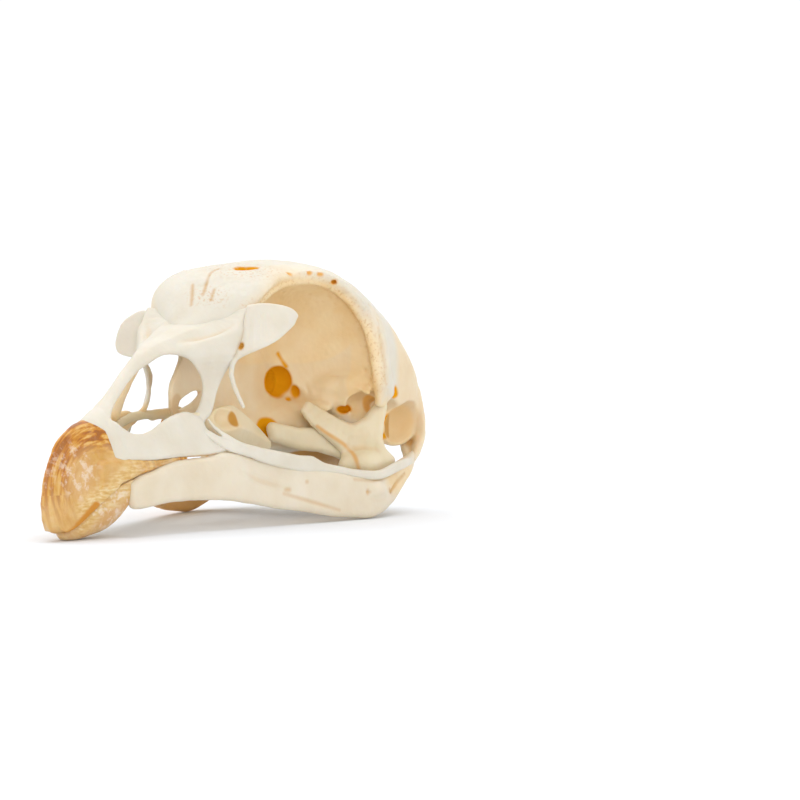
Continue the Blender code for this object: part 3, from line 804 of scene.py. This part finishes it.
HORN_TOP = 15.6
BAND_FRONT = 8.4
BAND_BACK = 12.4
BEAK_HOLES = (
    ((6, 26.9, 13.2), (0.3, 0.16, 0.08)), ((4.9, 14, 11.4), (0.3, 0.3, 0.06)),
)
INNER_WALL = (
    (-2, 26.4, 22.2, 0.4), (-2.9, 25.5, 20.1, 0.45), (-3.2, 24.4, 18.4, 0.5),
    (-3.5, 23.6, 17, 0.6), (-3.9, 23, 15.4, 0.8),
)
RIGHT_NOTCH = ((-6.6, 31, 12.3), (2.8, 4.2, 2.5))
LACRIMAL_SEAM = (
    (8.5, 38, 30.2, 0.12), (8.4, 36.9, 27.9, 0.12), (8.2, 35.7, 25.7, 0.12),
    (7.8, 34.6, 23.1, 0.12),
)
RIGHT_CHEEK = ((-4.5, 26, 12.5), (2.5, 9, 4))
EDGE_SHADE = ((4.9, 15.2, 9.4, 0.2), (6.4, 23, 9.8, 0.2), (7.6, 29.6, 10.1, 0.2))

beak = Clay((0, 0, 0), (10, 40, 31), 0.14)
beak.add(vault(BEAK))
# Only a band of the outer shape is left, and the horn's core reaches forward from it
beak.carve(slab(-9, BAND_FRONT, 0.3))
beak.carve(slab(BAND_BACK, 40))
beak.add(vault(BEAK_CORE), 0.2)
beak.add(plate(BEAK_ROOF, 0.4), 0.8)
beak.add(plate(NOSTRIL_BAR, 0.8), 1.0)
beak.add(plate(BEAK_EDGE, 0.8), 1.0)
beak.bore(BEAK_HOLES, 0.1)
beak.open_out()
beak.carve(lump(*RIGHT_NOTCH), 0.3)
beak.add(limb(INNER_WALL), 0.5)
beak.soften()
# Ochre paints shade under the bone's lower edge and a faint stain along the seam; tan paints warm
# shade on the inner wall and the right cheek
beak_bone = cast(
    beak, "upper_beak_bone", seed=2,
    rust=[faint(limb(LACRIMAL_SEAM), 0.2), faint(limb(EDGE_SHADE), 0.7)],
    tan=[lump(*RIGHT_CHEEK), faint(limb(INNER_WALL), 0.8, "tan")],
)
fitted(beak_bone, bone_look, "bone", "upper_beak")


# ------------------------------------------------------------
# The lacrimals, a thin leaf of bone on each front corner of the eye socket, stitched to the
# forehead along one seam. A slender rod hangs from the left one. The right one shows no rod,
# and its leaf is turned further out.

LACRIMAL_BLADE = (
    (8.5, 37.2, 29.6, 8.2, 35.4, 23.3, 0.4), (9.7, 38.2, 29.9, 10.2, 35.8, 24.1, 0.35),
    (11.1, 40, 29.75, 12.3, 37, 25.2, 0.35), (12.2, 42, 29.2, 12.7, 39.4, 26.4, 0.35),
    (12.5, 43, 28.5, 12.7, 41.7, 27.4, 0.3),
)
LACRIMAL_ROD = (
    (8.2, 35.6, 24.2, 0.5), (7.3, 34.8, 22, 0.4), (7.1, 34.8, 20.6, 0.36),
    (7.5, 34.9, 19.2, 0.34), (8.2, 35, 17.6, 0.32), (8.8, 35.2, 16.3, 0.28),
)
TEAR_HOLE = ((8.4, 35, 24.5), (0.3, 0.8, 0.42))
RIGHT_BLADE = (
    (7.9, 38.3, 28.5, 7.9, 37.2, 23.2, 0.4), (8.9, 38.1, 28.85, 9.8, 37, 23, 0.35),
    (10, 38, 28.5, 11.2, 36.9, 23.2, 0.35), (11.2, 37.8, 27.8, 12.1, 37, 23.6, 0.35),
    (12, 37.6, 26.9, 12.5, 37.2, 24.2, 0.35), (12.5, 37.5, 25.8, 12.7, 37.4, 24.8, 0.3),
)

for side, way, blade in (("left", 1, LACRIMAL_BLADE), ("right", -1, RIGHT_BLADE)):
    leaf = Clay((4, 32, 13), (16, 47, 33), 0.12)
    leaf.add(plate(blade, 0.7))
    rust = []
    if side == "left":
        leaf.add(limb(LACRIMAL_ROD), 0.6)
        leaf.carve(lump(*TEAR_HOLE), 0.1)
        # The tear hole gets painted shade, and the seam a faint stain
        rust = [lump(*TEAR_HOLE), faint(limb(LACRIMAL_SEAM), 0.2)]
    leaf.soften()
    bone = cast(
        leaf, f"lacrimal_leaf_{side}", unevenness=0.03, swell=1.5,
        seed=21 if side == "left" else 22, side=way, rust=rust,
    )
    fitted(bone, bone_look, "bone", f"lacrimal_{side}")


# ------------------------------------------------------------
# The palatines, two long plates in the roof of the mouth, each dished at the back where a
# jaw muscle lay. Like the other bones round the mouth they hold more fat, so are yellower.

PALATINE_BAR = (
    (3.4, 17, 11.6, 0.5), (3.9, 22, 13.4, 0.6), (4.4, 26.6, 14.7, 0.7),
    (4.5, 31, 15.1, 0.62), (4.6, 35, 15, 0.62), (4.7, 38, 14.8, 0.7),
)
PALATINE_PLATE = (
    (4.8, 33.4, 14.8, 5.2, 34.6, 13.6, 4.8, 35.6, 11.6, 0.4),
    (4.8, 35.4, 15.6, 6, 35.8, 14, 4.8, 36.6, 10.6, 0.4),
    (4.6, 38.8, 16, 6, 38.4, 13.4, 4.9, 38, 10.2, 0.4),
    (4.4, 42.6, 14.6, 5.4, 42.6, 12.6, 4.8, 42.6, 10, 0.4),
    (4, 46.8, 12.7, 4.6, 46.8, 11.4, 4.3, 46.8, 10, 0.4),
    (3.4, 50.2, 11.1, 3.8, 50.2, 10.7, 3.8, 50.2, 10.2, 0.45),
)
LEFT_SWELL = ((4.6, 35.6, 14.2), (1.5, 3.6, 1.9))
RIGHT_HOLLOWS = (((6, 34, 11.6), (4, 6.2, 2.7)), ((4.6, 36.4, 17.2), (3, 5.6, 1.4)))
DISH = ((7.4, 35.4, 14.9), (2.6, 3.4, 2.1))
DISH_STAIN = ((6, 37.6, 14.6), (0.9, 0.6, 1))

oily_look = dry_bone("oily dried bone", "#DFCEA9", "#E8DBBD")
for side, way in (("left", 1), ("right", -1)):
    palate = Clay((0.6, 15, 8), (9.6, 53, 19), 0.12)
    palate.add(limb(PALATINE_BAR))
    palate.add(plate(PALATINE_PLATE), 0.6)
    if side == "left":
        palate.add(lump(*LEFT_SWELL), 0.6)
    else:
        palate.bore(RIGHT_HOLLOWS, 0.3)
    palate.carve(lump(*DISH), 0.25)
    palate.soften()
    # The tan in the dish is painted shade
    bone = cast(
        palate, f"palatine_plate_{side}", unevenness=0.03, swell=1.5, seed=30 + way, side=way,
        tan=[faint(lump(*DISH), 0.5, "tan")], rust=[lump(*DISH_STAIN)],
    )
    fitted(bone, oily_look, "bone", f"palatine_{side}")


# ------------------------------------------------------------
# The pterygoids, short struts of oily bone that slide between the palate and the quadrates
# in life. Each is thickest in front, and dried tissue holds it at both ends.

PTERYGOID_STRUT = (
    (3.2, 52.4, 12.6, 3.4, 52.6, 11.6, 0.9), (4.2, 54.4, 12.2, 4.4, 54.8, 10.8, 0.85),
    (5.2, 56, 11.8, 5.6, 56.4, 10.2, 0.8), (6.3, 58.2, 11.8, 7, 58.8, 9.9, 0.8),
    (7.2, 60, 11.2, 8.4, 60.8, 9.2, 0.8), (8.4, 62.2, 10, 9.6, 62.4, 8.2, 0.7),
    (9.2, 63.6, 9, 10, 63.6, 7.8, 0.6),
)


def both_sides(clay, name, look, slot, cad_name, seed, **finish):
    """The left bone and its mirror image, as two pieces."""
    for side, way in (("left", 1), ("right", -1)):
        piece = cast(clay, f"{name}_{side}", side=way, seed=seed + way, **finish)
        fitted(piece, look, slot, f"{cad_name}_{side}")


strut = Clay((1, 49, 6), (12, 65, 15), 0.12)
strut.add(plate(PTERYGOID_STRUT))
strut.soften()
both_sides(strut, "pterygoid_strut", oily_look, "bone", "pterygoid", 40, unevenness=0.04, swell=2)


# ------------------------------------------------------------
# The quadrates, the stout bones that the lower jaw turns on. Each has a head under the
# ear, a rod that points into the eye socket, and rounded feet that stand in the jaw's cup.

QUADRATE_BODY = (
    (5.6, 58.1, 15.7, 5.6, 57.7, 15.5, 5.6, 57.3, 15.2, 5.6, 57, 15, 0.5),
    (7.2, 59.4, 14.4, 7.1, 58.8, 14, 7, 58.2, 13.7, 6.9, 57.6, 13.4, 0.65),
    (9, 61, 12.9, 8.9, 60.5, 12.3, 8.9, 60, 11.8, 8.8, 59.6, 11.2, 0.8),
    (10.8, 62.4, 12.2, 10.6, 62, 11.4, 10.2, 61.8, 10.4, 9.9, 61.6, 9.4, 0.9),
    (12.2, 63.6, 13.2, 12.2, 63.4, 11.8, 11.8, 63.4, 10, 11, 63.6, 7.6, 1),
    (13.2, 65.6, 15.6, 13.2, 64.4, 12.8, 13.2, 64.2, 10.6, 13.4, 66, 7.6, 0.9),
)
# The feet, each a centre, half sizes and how far it eases into the body
QUADRATE_FEET = (
    ((13.4, 66.4, 7.6), (1.3, 1.8, 1.1), 1.4), ((13.2, 63.6, 7.2), (1.2, 2.6, 1.5), 1.4),
    ((10.9, 64.6, 7.4), (1.5, 1.2, 1.1), 1), ((10.6, 61.6, 7.4), (1.3, 2.8, 1.5), 1.4),
    ((12.2, 62.4, 7.6), (1.6, 2, 1.5), 1.4),
)
QUADRATE_SEAM = (
    (7.6, 57.3, 12.8, 0.06), (8.4, 58.1, 12, 0.08), (9.4, 59.1, 11.1, 0.1), (10.3, 60.4, 10.1, 0.1),
    (11.2, 60.8, 9.1, 0.12), (12.2, 60.2, 8.1, 0.12), (12.5, 60.4, 7, 0.1),
)

hinge = Clay((4, 56, 4), (18, 72, 19), 0.12)
hinge.add(plate(QUADRATE_BODY))
for centre, halves, ease in QUADRATE_FEET:
    hinge.add(lump(centre, halves), ease)
hinge.soften()
both_sides(
    hinge, "quadrate_bone", oily_look, "bone", "quadrate", 50, unevenness=0.04, swell=2,
    # Amber paints warm shade along the seam
    amber=[faint(limb(QUADRATE_SEAM), 0.6, "amber")],
)


# ------------------------------------------------------------
# The jugal bars, slender springy cheek bones that run from the beak to the quadrates. Two
# roots grow into the beak's side, and dried tissue holds the rear end to the quadrate.

JUGAL_BAR = (
    (9.6, 34.6, 10.8, 9.6, 34.6, 10.5, 0.4), (10.2, 36, 10.5, 10.2, 36, 9.7, 0.45),
    (11.1, 39.6, 9.9, 11.1, 39.6, 8.6, 0.45), (12, 44.8, 9, 12, 44.8, 7.6, 0.45),
    (12.4, 47.4, 8.8, 12.4, 47.4, 7.3, 0.45), (12.8, 49.5, 7.9, 12.8, 49.5, 7.1, 0.42),
    (13.6, 53.1, 7.2, 13.6, 53.1, 6.8, 0.4), (14.4, 56.5, 6.6, 14.4, 56.5, 6.2, 0.4),
    (15.5, 61.1, 6.3, 15.5, 60.7, 5.8, 0.45), (15.9, 64.8, 7.2, 15.9, 65, 6.6, 0.45),
    (15.6, 69.8, 7.8, 15.6, 69.8, 7.4, 0.4),
)
JUGAL_ROOTS = (
    ((6, 30.6, 14.8, 0.2), (6.6, 31.2, 13.7, 0.26), (7.2, 31.7, 13.05, 0.3),
     (8.2, 32.7, 12.2, 0.32), (9, 34, 11.35, 0.34), (10.2, 36.4, 10.5, 0.42)),
    ((6.4, 28.4, 13.3, 0.2), (7.4, 30.2, 11.9, 0.3), (8.6, 32.1, 10.7, 0.34),
     (9.4, 34, 10.3, 0.4), (10.4, 37, 9.6, 0.5)),
)
JUGAL_SHELF = (
    (6, 28.9, 13.7, 0.3), (7.1, 30.5, 12.3, 0.5), (8.2, 32.5, 11.3, 0.55), (9.4, 35, 10.3, 0.5),
)

cheek = Clay((5, 27, 4), (18, 71, 16), 0.12)
cheek.add(plate(JUGAL_BAR, 1.0))
for root in JUGAL_ROOTS:
    cheek.add(limb(root), 0.3)
cheek.add(limb(JUGAL_SHELF), 0.6)
cheek.soften()
both_sides(cheek, "jugal_bar", bone_look, "bone", "jugal", 60, unevenness=0.03, swell=2)


# ------------------------------------------------------------
# The lower jaw. Its two sides are flat plates that join under the tip of the beak, and
# each ends in a cup for the quadrate with a horn of bone inside and behind it.

CHIN_CORE = (
    (7.8, 0.9, 3.4, 1.9), (8.8, 1.5, 4, 2.1), (10.5, 2.6, 5.2, 2.8), (12, 3.4, 6.1, 3.4),
    (15, 4.4, 7.3, 4.2), (17.2, 4.9, 7.8, 4.6),
)
JAW_SIDE = (
    (4.5, 14.7, 6.6, 4.6, 14.7, 4.5, 0.9), (4.9, 15.8, 7.2, 5, 15.8, 4.5, 0.9),
    (5.5, 17.6, 7.7, 5.6, 17.6, 4.7, 0.8), (6.1, 21.4, 8.8, 6.3, 21.4, 5, 0.8),
    (6.7, 24.9, 9, 6.9, 24.9, 5, 0.8), (7.5, 28.5, 9.2, 7.8, 28.5, 4.9, 0.8),
    (8.2, 31.8, 9.6, 8.8, 31.8, 4.6, 0.8), (9.1, 35.9, 8.9, 9.7, 35.9, 4, 0.8),
    (10.6, 41.5, 7.9, 11, 41.5, 3, 0.8), (11.6, 45.3, 7.1, 12, 45.3, 2.5, 0.8),
    (13, 51, 6.2, 13.4, 51, 1.6, 0.85), (13.9, 55.5, 5.4, 14.2, 55.5, 1.2, 0.9),
    (14.3, 58.8, 4.9, 14.7, 58.8, 1.1, 1.05), (14.4, 61.6, 4.9, 14.9, 61.6, 1.8, 1.25),
    (14.2, 64.6, 5.3, 14.6, 64.8, 3, 1.3), (13.9, 68, 5.9, 14.1, 68.2, 4.5, 1.2),
    (13.5, 71.5, 6.8, 13.6, 71.8, 5.9, 0.95), (13.2, 74, 7.6, 13.2, 74.2, 7, 0.7),
    (13, 75.6, 8.2, 13, 75.6, 7.9, 0.5),
)
JAW_KNOB = ((14.8, 60.2, 3.9), (1.8, 2.1, 1.3))
JAW_DENT = (
    (10.1, 33.2, 8, 0.6), (10.8, 36.7, 6.5, 0.75), (11.7, 39.8, 5.6, 0.75), (12.3, 42, 5.2, 0.5),
)
JAW_CREASES = (
    ((11.6, 41.1, 4.4, 0.1), (13.05, 46.7, 2.9, 0.14), (14.3, 51.6, 1.6, 0.08)),
    ((15.6, 63.6, 3.4, 0.2), (15.4, 66, 4.7, 0.18), (14.8, 69.6, 5.8, 0.15)),
    ((14.8, 55.2, 5.7, 0.1), (15.5, 60.2, 5.4, 0.2), (15.6, 64, 5.8, 0.1)),
)
CLEAN_HOLES = (((5.9, 19.6, 6.2), (0.3, 0.15, 0.08)), ((5.6, 16.6, 6.5), (0.3, 0.12, 0.06)))
SHADED_HOLES = (
    ((12.3, 41.7, 4.9), (0.7, 0.8, 0.3)), ((12.9, 45.6, 5.8), (0.35, 0.25, 0.15)),
    ((15.6, 57.8, 3.8), (0.5, 0.25, 0.12)), ((15.6, 57.8, 3.8), (0.5, 0.1, 0.3)),
    ((15.6, 61, 1.7), (0.2, 0.12, 0.1)),
)
KNOB_SHADE = ((15.2, 63.4, 3.6), (0.6, 0.5, 0.6))
RIGHT_PAINTED_GLOW = (-14.4, 54.5, 0.8)
HEEL_SHADE = ((14.6, 68, 5.2), (2.4, 4.6, 1.6))
INNER_HORN = ((13, 65.4, 4.6, 1.5), (10.6, 66.2, 4.8, 1.3), (7.8, 67.2, 5.2, 0.8))

jaw = Clay((0, 6, -1), (18, 79, 12), 0.14)
jaw.add(vault(CHIN_CORE, 2.4))
jaw.add(plate(JAW_SIDE, 0.7), 0.5)
jaw.add(limb(INNER_HORN), 0.8)
jaw.add(lump(*JAW_KNOB), 0.8)
jaw.carve(limb(JAW_DENT), 0.3)
for crease in JAW_CREASES:
    jaw.carve(limb(crease), 0.15)
jaw.bore((*CLEAN_HOLES, *SHADED_HOLES), 0.1)
jaw.open_out()
jaw.soften()
jaw_look = dry_bone("dried jaw bone", "#DDCEB3", "#E5DAC5")
jaw_bone = cast(
    jaw, "lower_jaw_bone", seed=3,
    # The painted amber glow and warm shade under the right side fades outwards in seven steps
    amber=egg_marks(
        [
            (RIGHT_PAINTED_GLOW, (3 + step, 10 + 2 * step, 1.8 + 0.4 * step), 0.75 - 0.1 * step)
            for step in range(7)
        ],
        "amber",
    ),
    # Ochre paints shade into the holes, the creases and onto the knob
    rust=[
        *egg_marks([(*hole, 0.4) for hole in SHADED_HOLES]), faint(lump(*KNOB_SHADE), 0.8),
        *(faint(limb(crease), 0.3) for crease in JAW_CREASES),
    ],
    # Tan paints warm shade on the heel under the cheek bar
    tan=[faint(lump(*HEEL_SHADE), 0.9, "tan")],
)
fitted(jaw_bone, jaw_look, "bone", "mandible")


# ------------------------------------------------------------
# The horn covers of the beak: keratin that grew in fine layers over the bone, amber and
# clear at the edges, with dark streaks down the ridge and pale flakes where it has dried.
# The amber along the bite is painted shade in the gap between the beaks.

CHIN = (
    (4.3, 0.5, 1.1, 0.45), (5, 1.2, 1.5, 0.05), (6, 2, 2.4, 0), (7.5, 2.8, 3.6, 0.1),
    (9, 3.3, 4.8, 0.3), (11, 3.9, 6.2, 0.6), (13, 4.4, 7.1, 1.35), (15, 4.8, 7.7, 2.25),
    (17.4, 5.2, 8.1, 3.9),
)
CHIN_SHEATH_END = 21.7
CHIN_SHEATH_SLANT = -0.667
TOMIUM = (
    (3.1, 9, 9.4, 3, 9, 5.9, 0.75), (3.5, 10.6, 9.6, 3.4, 10.6, 6.8, 0.75),
    (3.9, 12.4, 9.6, 3.9, 12.4, 7.8, 0.75), (4.6, 15, 9.6, 4.6, 15, 8.6, 0.75),
    (5.2, 18, 9.9, 5.2, 18, 9.3, 0.7), (5.9, 21.5, 10.2, 5.9, 21.5, 9.9, 0.65),
    (6.3, 24, 10.4, 6.3, 24, 10.2, 0.6),
)
BITE_LINE = (
    (3.3, 7.7, 4.4, 0.45), (2.9, 6.6, 3.35, 0.48), (2.4, 5.4, 2.3, 0.4), (1.9, 4.2, 1.4, 0.28),
    (1.3, 2.8, 0.9, 0.12),
)
BITING_EDGE = (
    (5.9, 21.5, 10, 0.1), (4.8, 15.6, 9.2, 0.2), (4.3, 12.4, 7.9, 0.4), (3.8, 9.8, 6, 0.6),
    (3.3, 7.6, 5.2, 0.4), (2.6, 5.8, 4, 0.2),
)
RIDGE_FLAKES = (
    (0.6, 0.8, 7.8, 0.1), (0.8, 1.5, 9.8, 0.1), (1, 2.4, 11.2, 0.1), (1.2, 3.8, 12.6, 0.1),
)
SIDE_FLAKES = ((2.6, 5.2, 9.2), (2.2, 2.4, 3.2))
BEAK_HOOK = ((0, 3, 3), (1, 1.7, 1.9))
# The cover ends along a slant on its sides, and almost upright on top of the beak
SHEATH_END = 9.2
SHEATH_SLANT = 1.35
SHEATH_TOP_END = 11.3
SHEATH_TOP_SLANT = 0.05
CHIN_EDGE = (
    (4.7, 13, 6.1, 0.2), (4.2, 10.6, 5, 0.1), (3.6, 8.8, 4, 0.1), (2.9, 7.2, 2.8, 0.1),
    (2.2, 5.8, 1.7, 0.1),
)
CHIN_FLAKES = ((4.4, 11.5, 3.6), (3, 4, 2.2))


def mirrored(row, side):
    """A row of a plate with its side numbers on the other side of the middle."""
    return [v * side if k % 3 == 0 and k < len(row) - 1 else v for k, v in enumerate(row)]


def keratin(name, shade, light):
    """Horn that grew in layers and dried: hard, with a low gloss and streaks along its growth.

    It is clear enough for light to sink into it, and lifts off in pale flakes.
    """
    material, tree, shader = blank(name)
    spot = node(tree, "TexCoord")["Object"]
    # The ridge of the beak is an arc of 9.5 mm round a point 9.5 mm back and 6 mm up, and the
    # streaks follow it, so they are drawn by how far out a spot is and how far round
    from_hub = node(
        tree, "VectorMath", {"operation": "SUBTRACT"}, _0=spot, _1=(0, -32.2 * MM, 6 * MM)
    )["Vector"]
    part = node(tree, "SeparateXYZ", Vector=from_hub)
    spoke, fine_spot = (
        node(tree, "VectorMath", {"operation": "MULTIPLY"}, _0=place, _1=shares)["Vector"]
        for place, shares in ((from_hub, (0, 1, 1)), (spot, (1, 0.12, 1)))
    )
    out = node(tree, "VectorMath", {"operation": "LENGTH"}, _0=spoke)["Value"]
    angle = node(tree, "Math", {"operation": "ARCTAN2"}, _0=part["Z"], _1=part["Y"])
    turn = product(tree, angle["Value"], 0.9 * MM)
    along = node(tree, "CombineXYZ", X=part["X"], Y=out, Z=turn)["Vector"]
    # Streaks are 0.6 mm wide, flakes 1.1 mm across and patches of tone 3.9 mm. The lines of
    # the biting edge are 0.1 mm in life, and drawn three times as wide, to show.
    streaks, flakes, clouds, lines = (
        node(
            tree, "TexNoise", Vector=place, Scale=1 / (width * MM), Detail=detail,
            Roughness=unevenness,
        )["Fac"]
        for place, width, detail, unevenness in (
            (along, 0.588, 4.0, 0.5), (spot, 1.11, 6.0, 0.65), (spot, 3.85, 4.0, 0.5),
            (fine_spot, 0.333, 3.0, 0.5),
        )
    )
    yellow, brown, streaky, chips, pale = (
        node(tree, "ValToRGB", stops=stops, Fac=factor)["Color"]
        for factor, stops in (
            (clouds, ((0.35, shade), (0.65, light))),
            (streaks, ((0.38, "#8A4200"), (0.46, "#B06206"), (0.53, "#CC8C22"), (0.62, "#DDB060"))),
            (streaks, ((0.35, "#B0B0B0"), (0.6, "#000000"))),
            (flakes, ((0.5, "#000000"), (0.6, "#D0D0D0"))),
            (lines, ((0.36, "#CFA354"), (0.5, "#DCB876"), (0.66, "#E6CFA0"))),
        )
    )
    rough_part, edge_part, bite_shade_part = (
        node(tree, "Attribute", {"attribute_name": title})["Fac"]
        for title in ("rough", "tan", "amber")
    )
    outer, upper = (
        node(tree, "MapRange", Value=value, _1=low * MM, _2=high * MM, _3=0.0, _4=1.0)["Result"]
        for value, low, high in ((out, 5, 6.8), (part["Z"], -4, 3))
    )
    flaking = node(
        tree, "Math", {"operation": "MULTIPLY_ADD"}, _0=rough_part, _1=0.85, _2=0.1
    )["Value"]
    ridge, streaked, worn, flaked = (
        product(tree, a, b)
        for a, b in ((outer, upper), (streaky, 0.75), (rough_part, 0.3), (chips, flaking))
    )
    # The amber along the bite line is painted shade in the gap between the beaks
    layers = (
        (ridge, brown), (streaked, linear("#C8882E")), (worn, linear("#C58A50")),
        (edge_part, pale), (flaked, linear("#EBDAC6")), (bite_shade_part, linear("#C6820F")),
    )
    bump = node(tree, "Bump", Height=flakes, Strength=0.35, Distance=0.4 * MM)["Normal"]
    feed(
        tree, shader, Base_Color=layered(tree, yellow, layers), Normal=bump, Roughness=0.38,
        Subsurface_Weight=0.2, Subsurface_Radius=(1.2, 0.6, 0.2), Subsurface_Scale=MM,
    )
    return material


horn_look = keratin("dried keratin", "#CF9F50", "#DFBC80")

cover = Clay((0, -1, 0), (8, 26, 18), 0.1)
cover.add(vault(BEAK, grow=0.12))
cover.add(lump(*BEAK_HOOK), 0.8)
cover.open_out()
cover.carve(slab(SHEATH_END, 40, SHEATH_SLANT), 0.2)
cover.carve(slab(SHEATH_TOP_END, 40, SHEATH_TOP_SLANT), 0.2)
for side in (1, -1):
    cover.add(plate([mirrored(row, side) for row in TOMIUM]), 0.3)
    cover.carve(plate([mirrored(row, side) for row in BEAK_EDGE[1:]]))
cover.carve(vault(BEAK_CORE, grow=0.05))
cover.soften(1)
# The amber along the bite line is painted shade in the gap between the beaks
upper_horn = cast(
    cover, "upper_beak_horn", unevenness=0.05, swell=1.5, seed=4,
    amber=[limb(BITE_LINE)], rough=[lump(*SIDE_FLAKES), limb(RIDGE_FLAKES)],
    tan=[limb(BITING_EDGE)],
)
fitted(upper_horn, horn_look, "horn_sheath", "upper_beak_sheath")

pale_horn = keratin("flaking keratin", "#D5A862", "#E6CEA4")

cover = Clay((0, 3, -1), (8, 18, 10), 0.1)
cover.add(vault(CHIN, 2.6))
cover.carve(slab(CHIN_SHEATH_END, 60, CHIN_SHEATH_SLANT), 0.2)
cover.carve(vault(CHIN_CORE, 2.4, grow=0.05))
cover.open_out()
cover.soften(1)
lower_horn = cast(
    cover, "lower_beak_horn", unevenness=0.05, swell=1.5, seed=5,
    rough=[lump(*CHIN_FLAKES)], tan=[limb(CHIN_EDGE)],
)
fitted(lower_horn, pale_horn, "horn_sheath", "lower_beak_sheath")


# ------------------------------------------------------------
# The studio: a matt white table that runs back out of sight, soft light from all round,
# and the camera, low and off the skull's left front.

TABLE_HALF = 6.0  # metres
SUN_SPREAD = 75  # degrees across, as wide as a large cloth overhead
LENS = 160.05  # mm, on a sensor 36 mm wide
CAMERA_PLACE = (0.2541, -0.4165, 0.0349)
CAMERA_DIP = 2.12  # degrees below level
CAMERA_TURN = 28.37  # degrees round to the bird's left
SKY_STRENGTH = 1.06  # just enough to bring the table and the air above it to white

table = bpy.data.meshes.new("table")
corners = [(x * TABLE_HALF, y * TABLE_HALF, 0) for x, y in ((-1, -1), (1, -1), (1, 1), (-1, 1))]
table.from_pydata(corners, [], [(0, 1, 2, 3)])
floor = bpy.data.objects.new("table", table)
bpy.context.scene.collection.objects.link(floor)
paper, tree, shader = blank("white paper")
feed(tree, shader, Base_Color=linear("#EFF2F7"), Roughness=0.9)
table.materials.append(paper)

world = bpy.data.worlds.new("studio")
world.use_nodes = True
sky = world.node_tree
way = node(sky, "TexCoord")["Generated"]
height = node(sky, "SeparateXYZ", Vector=way)["Z"]
greys = ((0.1, "#FFFFFF"), (0.8, "#D8D8D8"))
shade = node(sky, "ValToRGB", stops=greys, Fac=height)["Color"]
feed(sky, sky.nodes["Background"], Color=shade, Strength=SKY_STRENGTH)
bpy.context.scene.world = world


def lamp(name, kind, place, aim, power, **settings):
    """Hangs a light at a place and turns it towards what it lights."""
    light = bpy.data.lights.new(name, kind)
    light.energy = power
    for key, value in settings.items():
        setattr(light, key, value)
    made = bpy.data.objects.new(name, light)
    bpy.context.scene.collection.objects.link(made)
    made.location = place
    made.rotation_euler = (Vector(aim) - Vector(place)).to_track_quat("-Z", "Y").to_euler()


lamp("overhead light", "SUN", (-0.2, 0.25, 0.95), (0, 0, 0), 1.4, angle=math.radians(SUN_SPREAD))
lamp("front softbox", "AREA", (0.5, -0.75, 0.35), (0, 0, 0.015), 1.5, shape="DISK", size=0.5)

lens = bpy.data.cameras.new("camera")
lens.sensor_width = 36
lens.lens = LENS
lens.clip_start = 0.01
lens.clip_end = 50
camera = bpy.data.objects.new("camera", lens)
camera.location = CAMERA_PLACE
camera.rotation_euler = (math.radians(90 - CAMERA_DIP), 0, math.radians(CAMERA_TURN))
bpy.context.scene.collection.objects.link(camera)
bpy.context.scene.camera = camera
bpy.context.scene.view_settings.view_transform = "Standard"
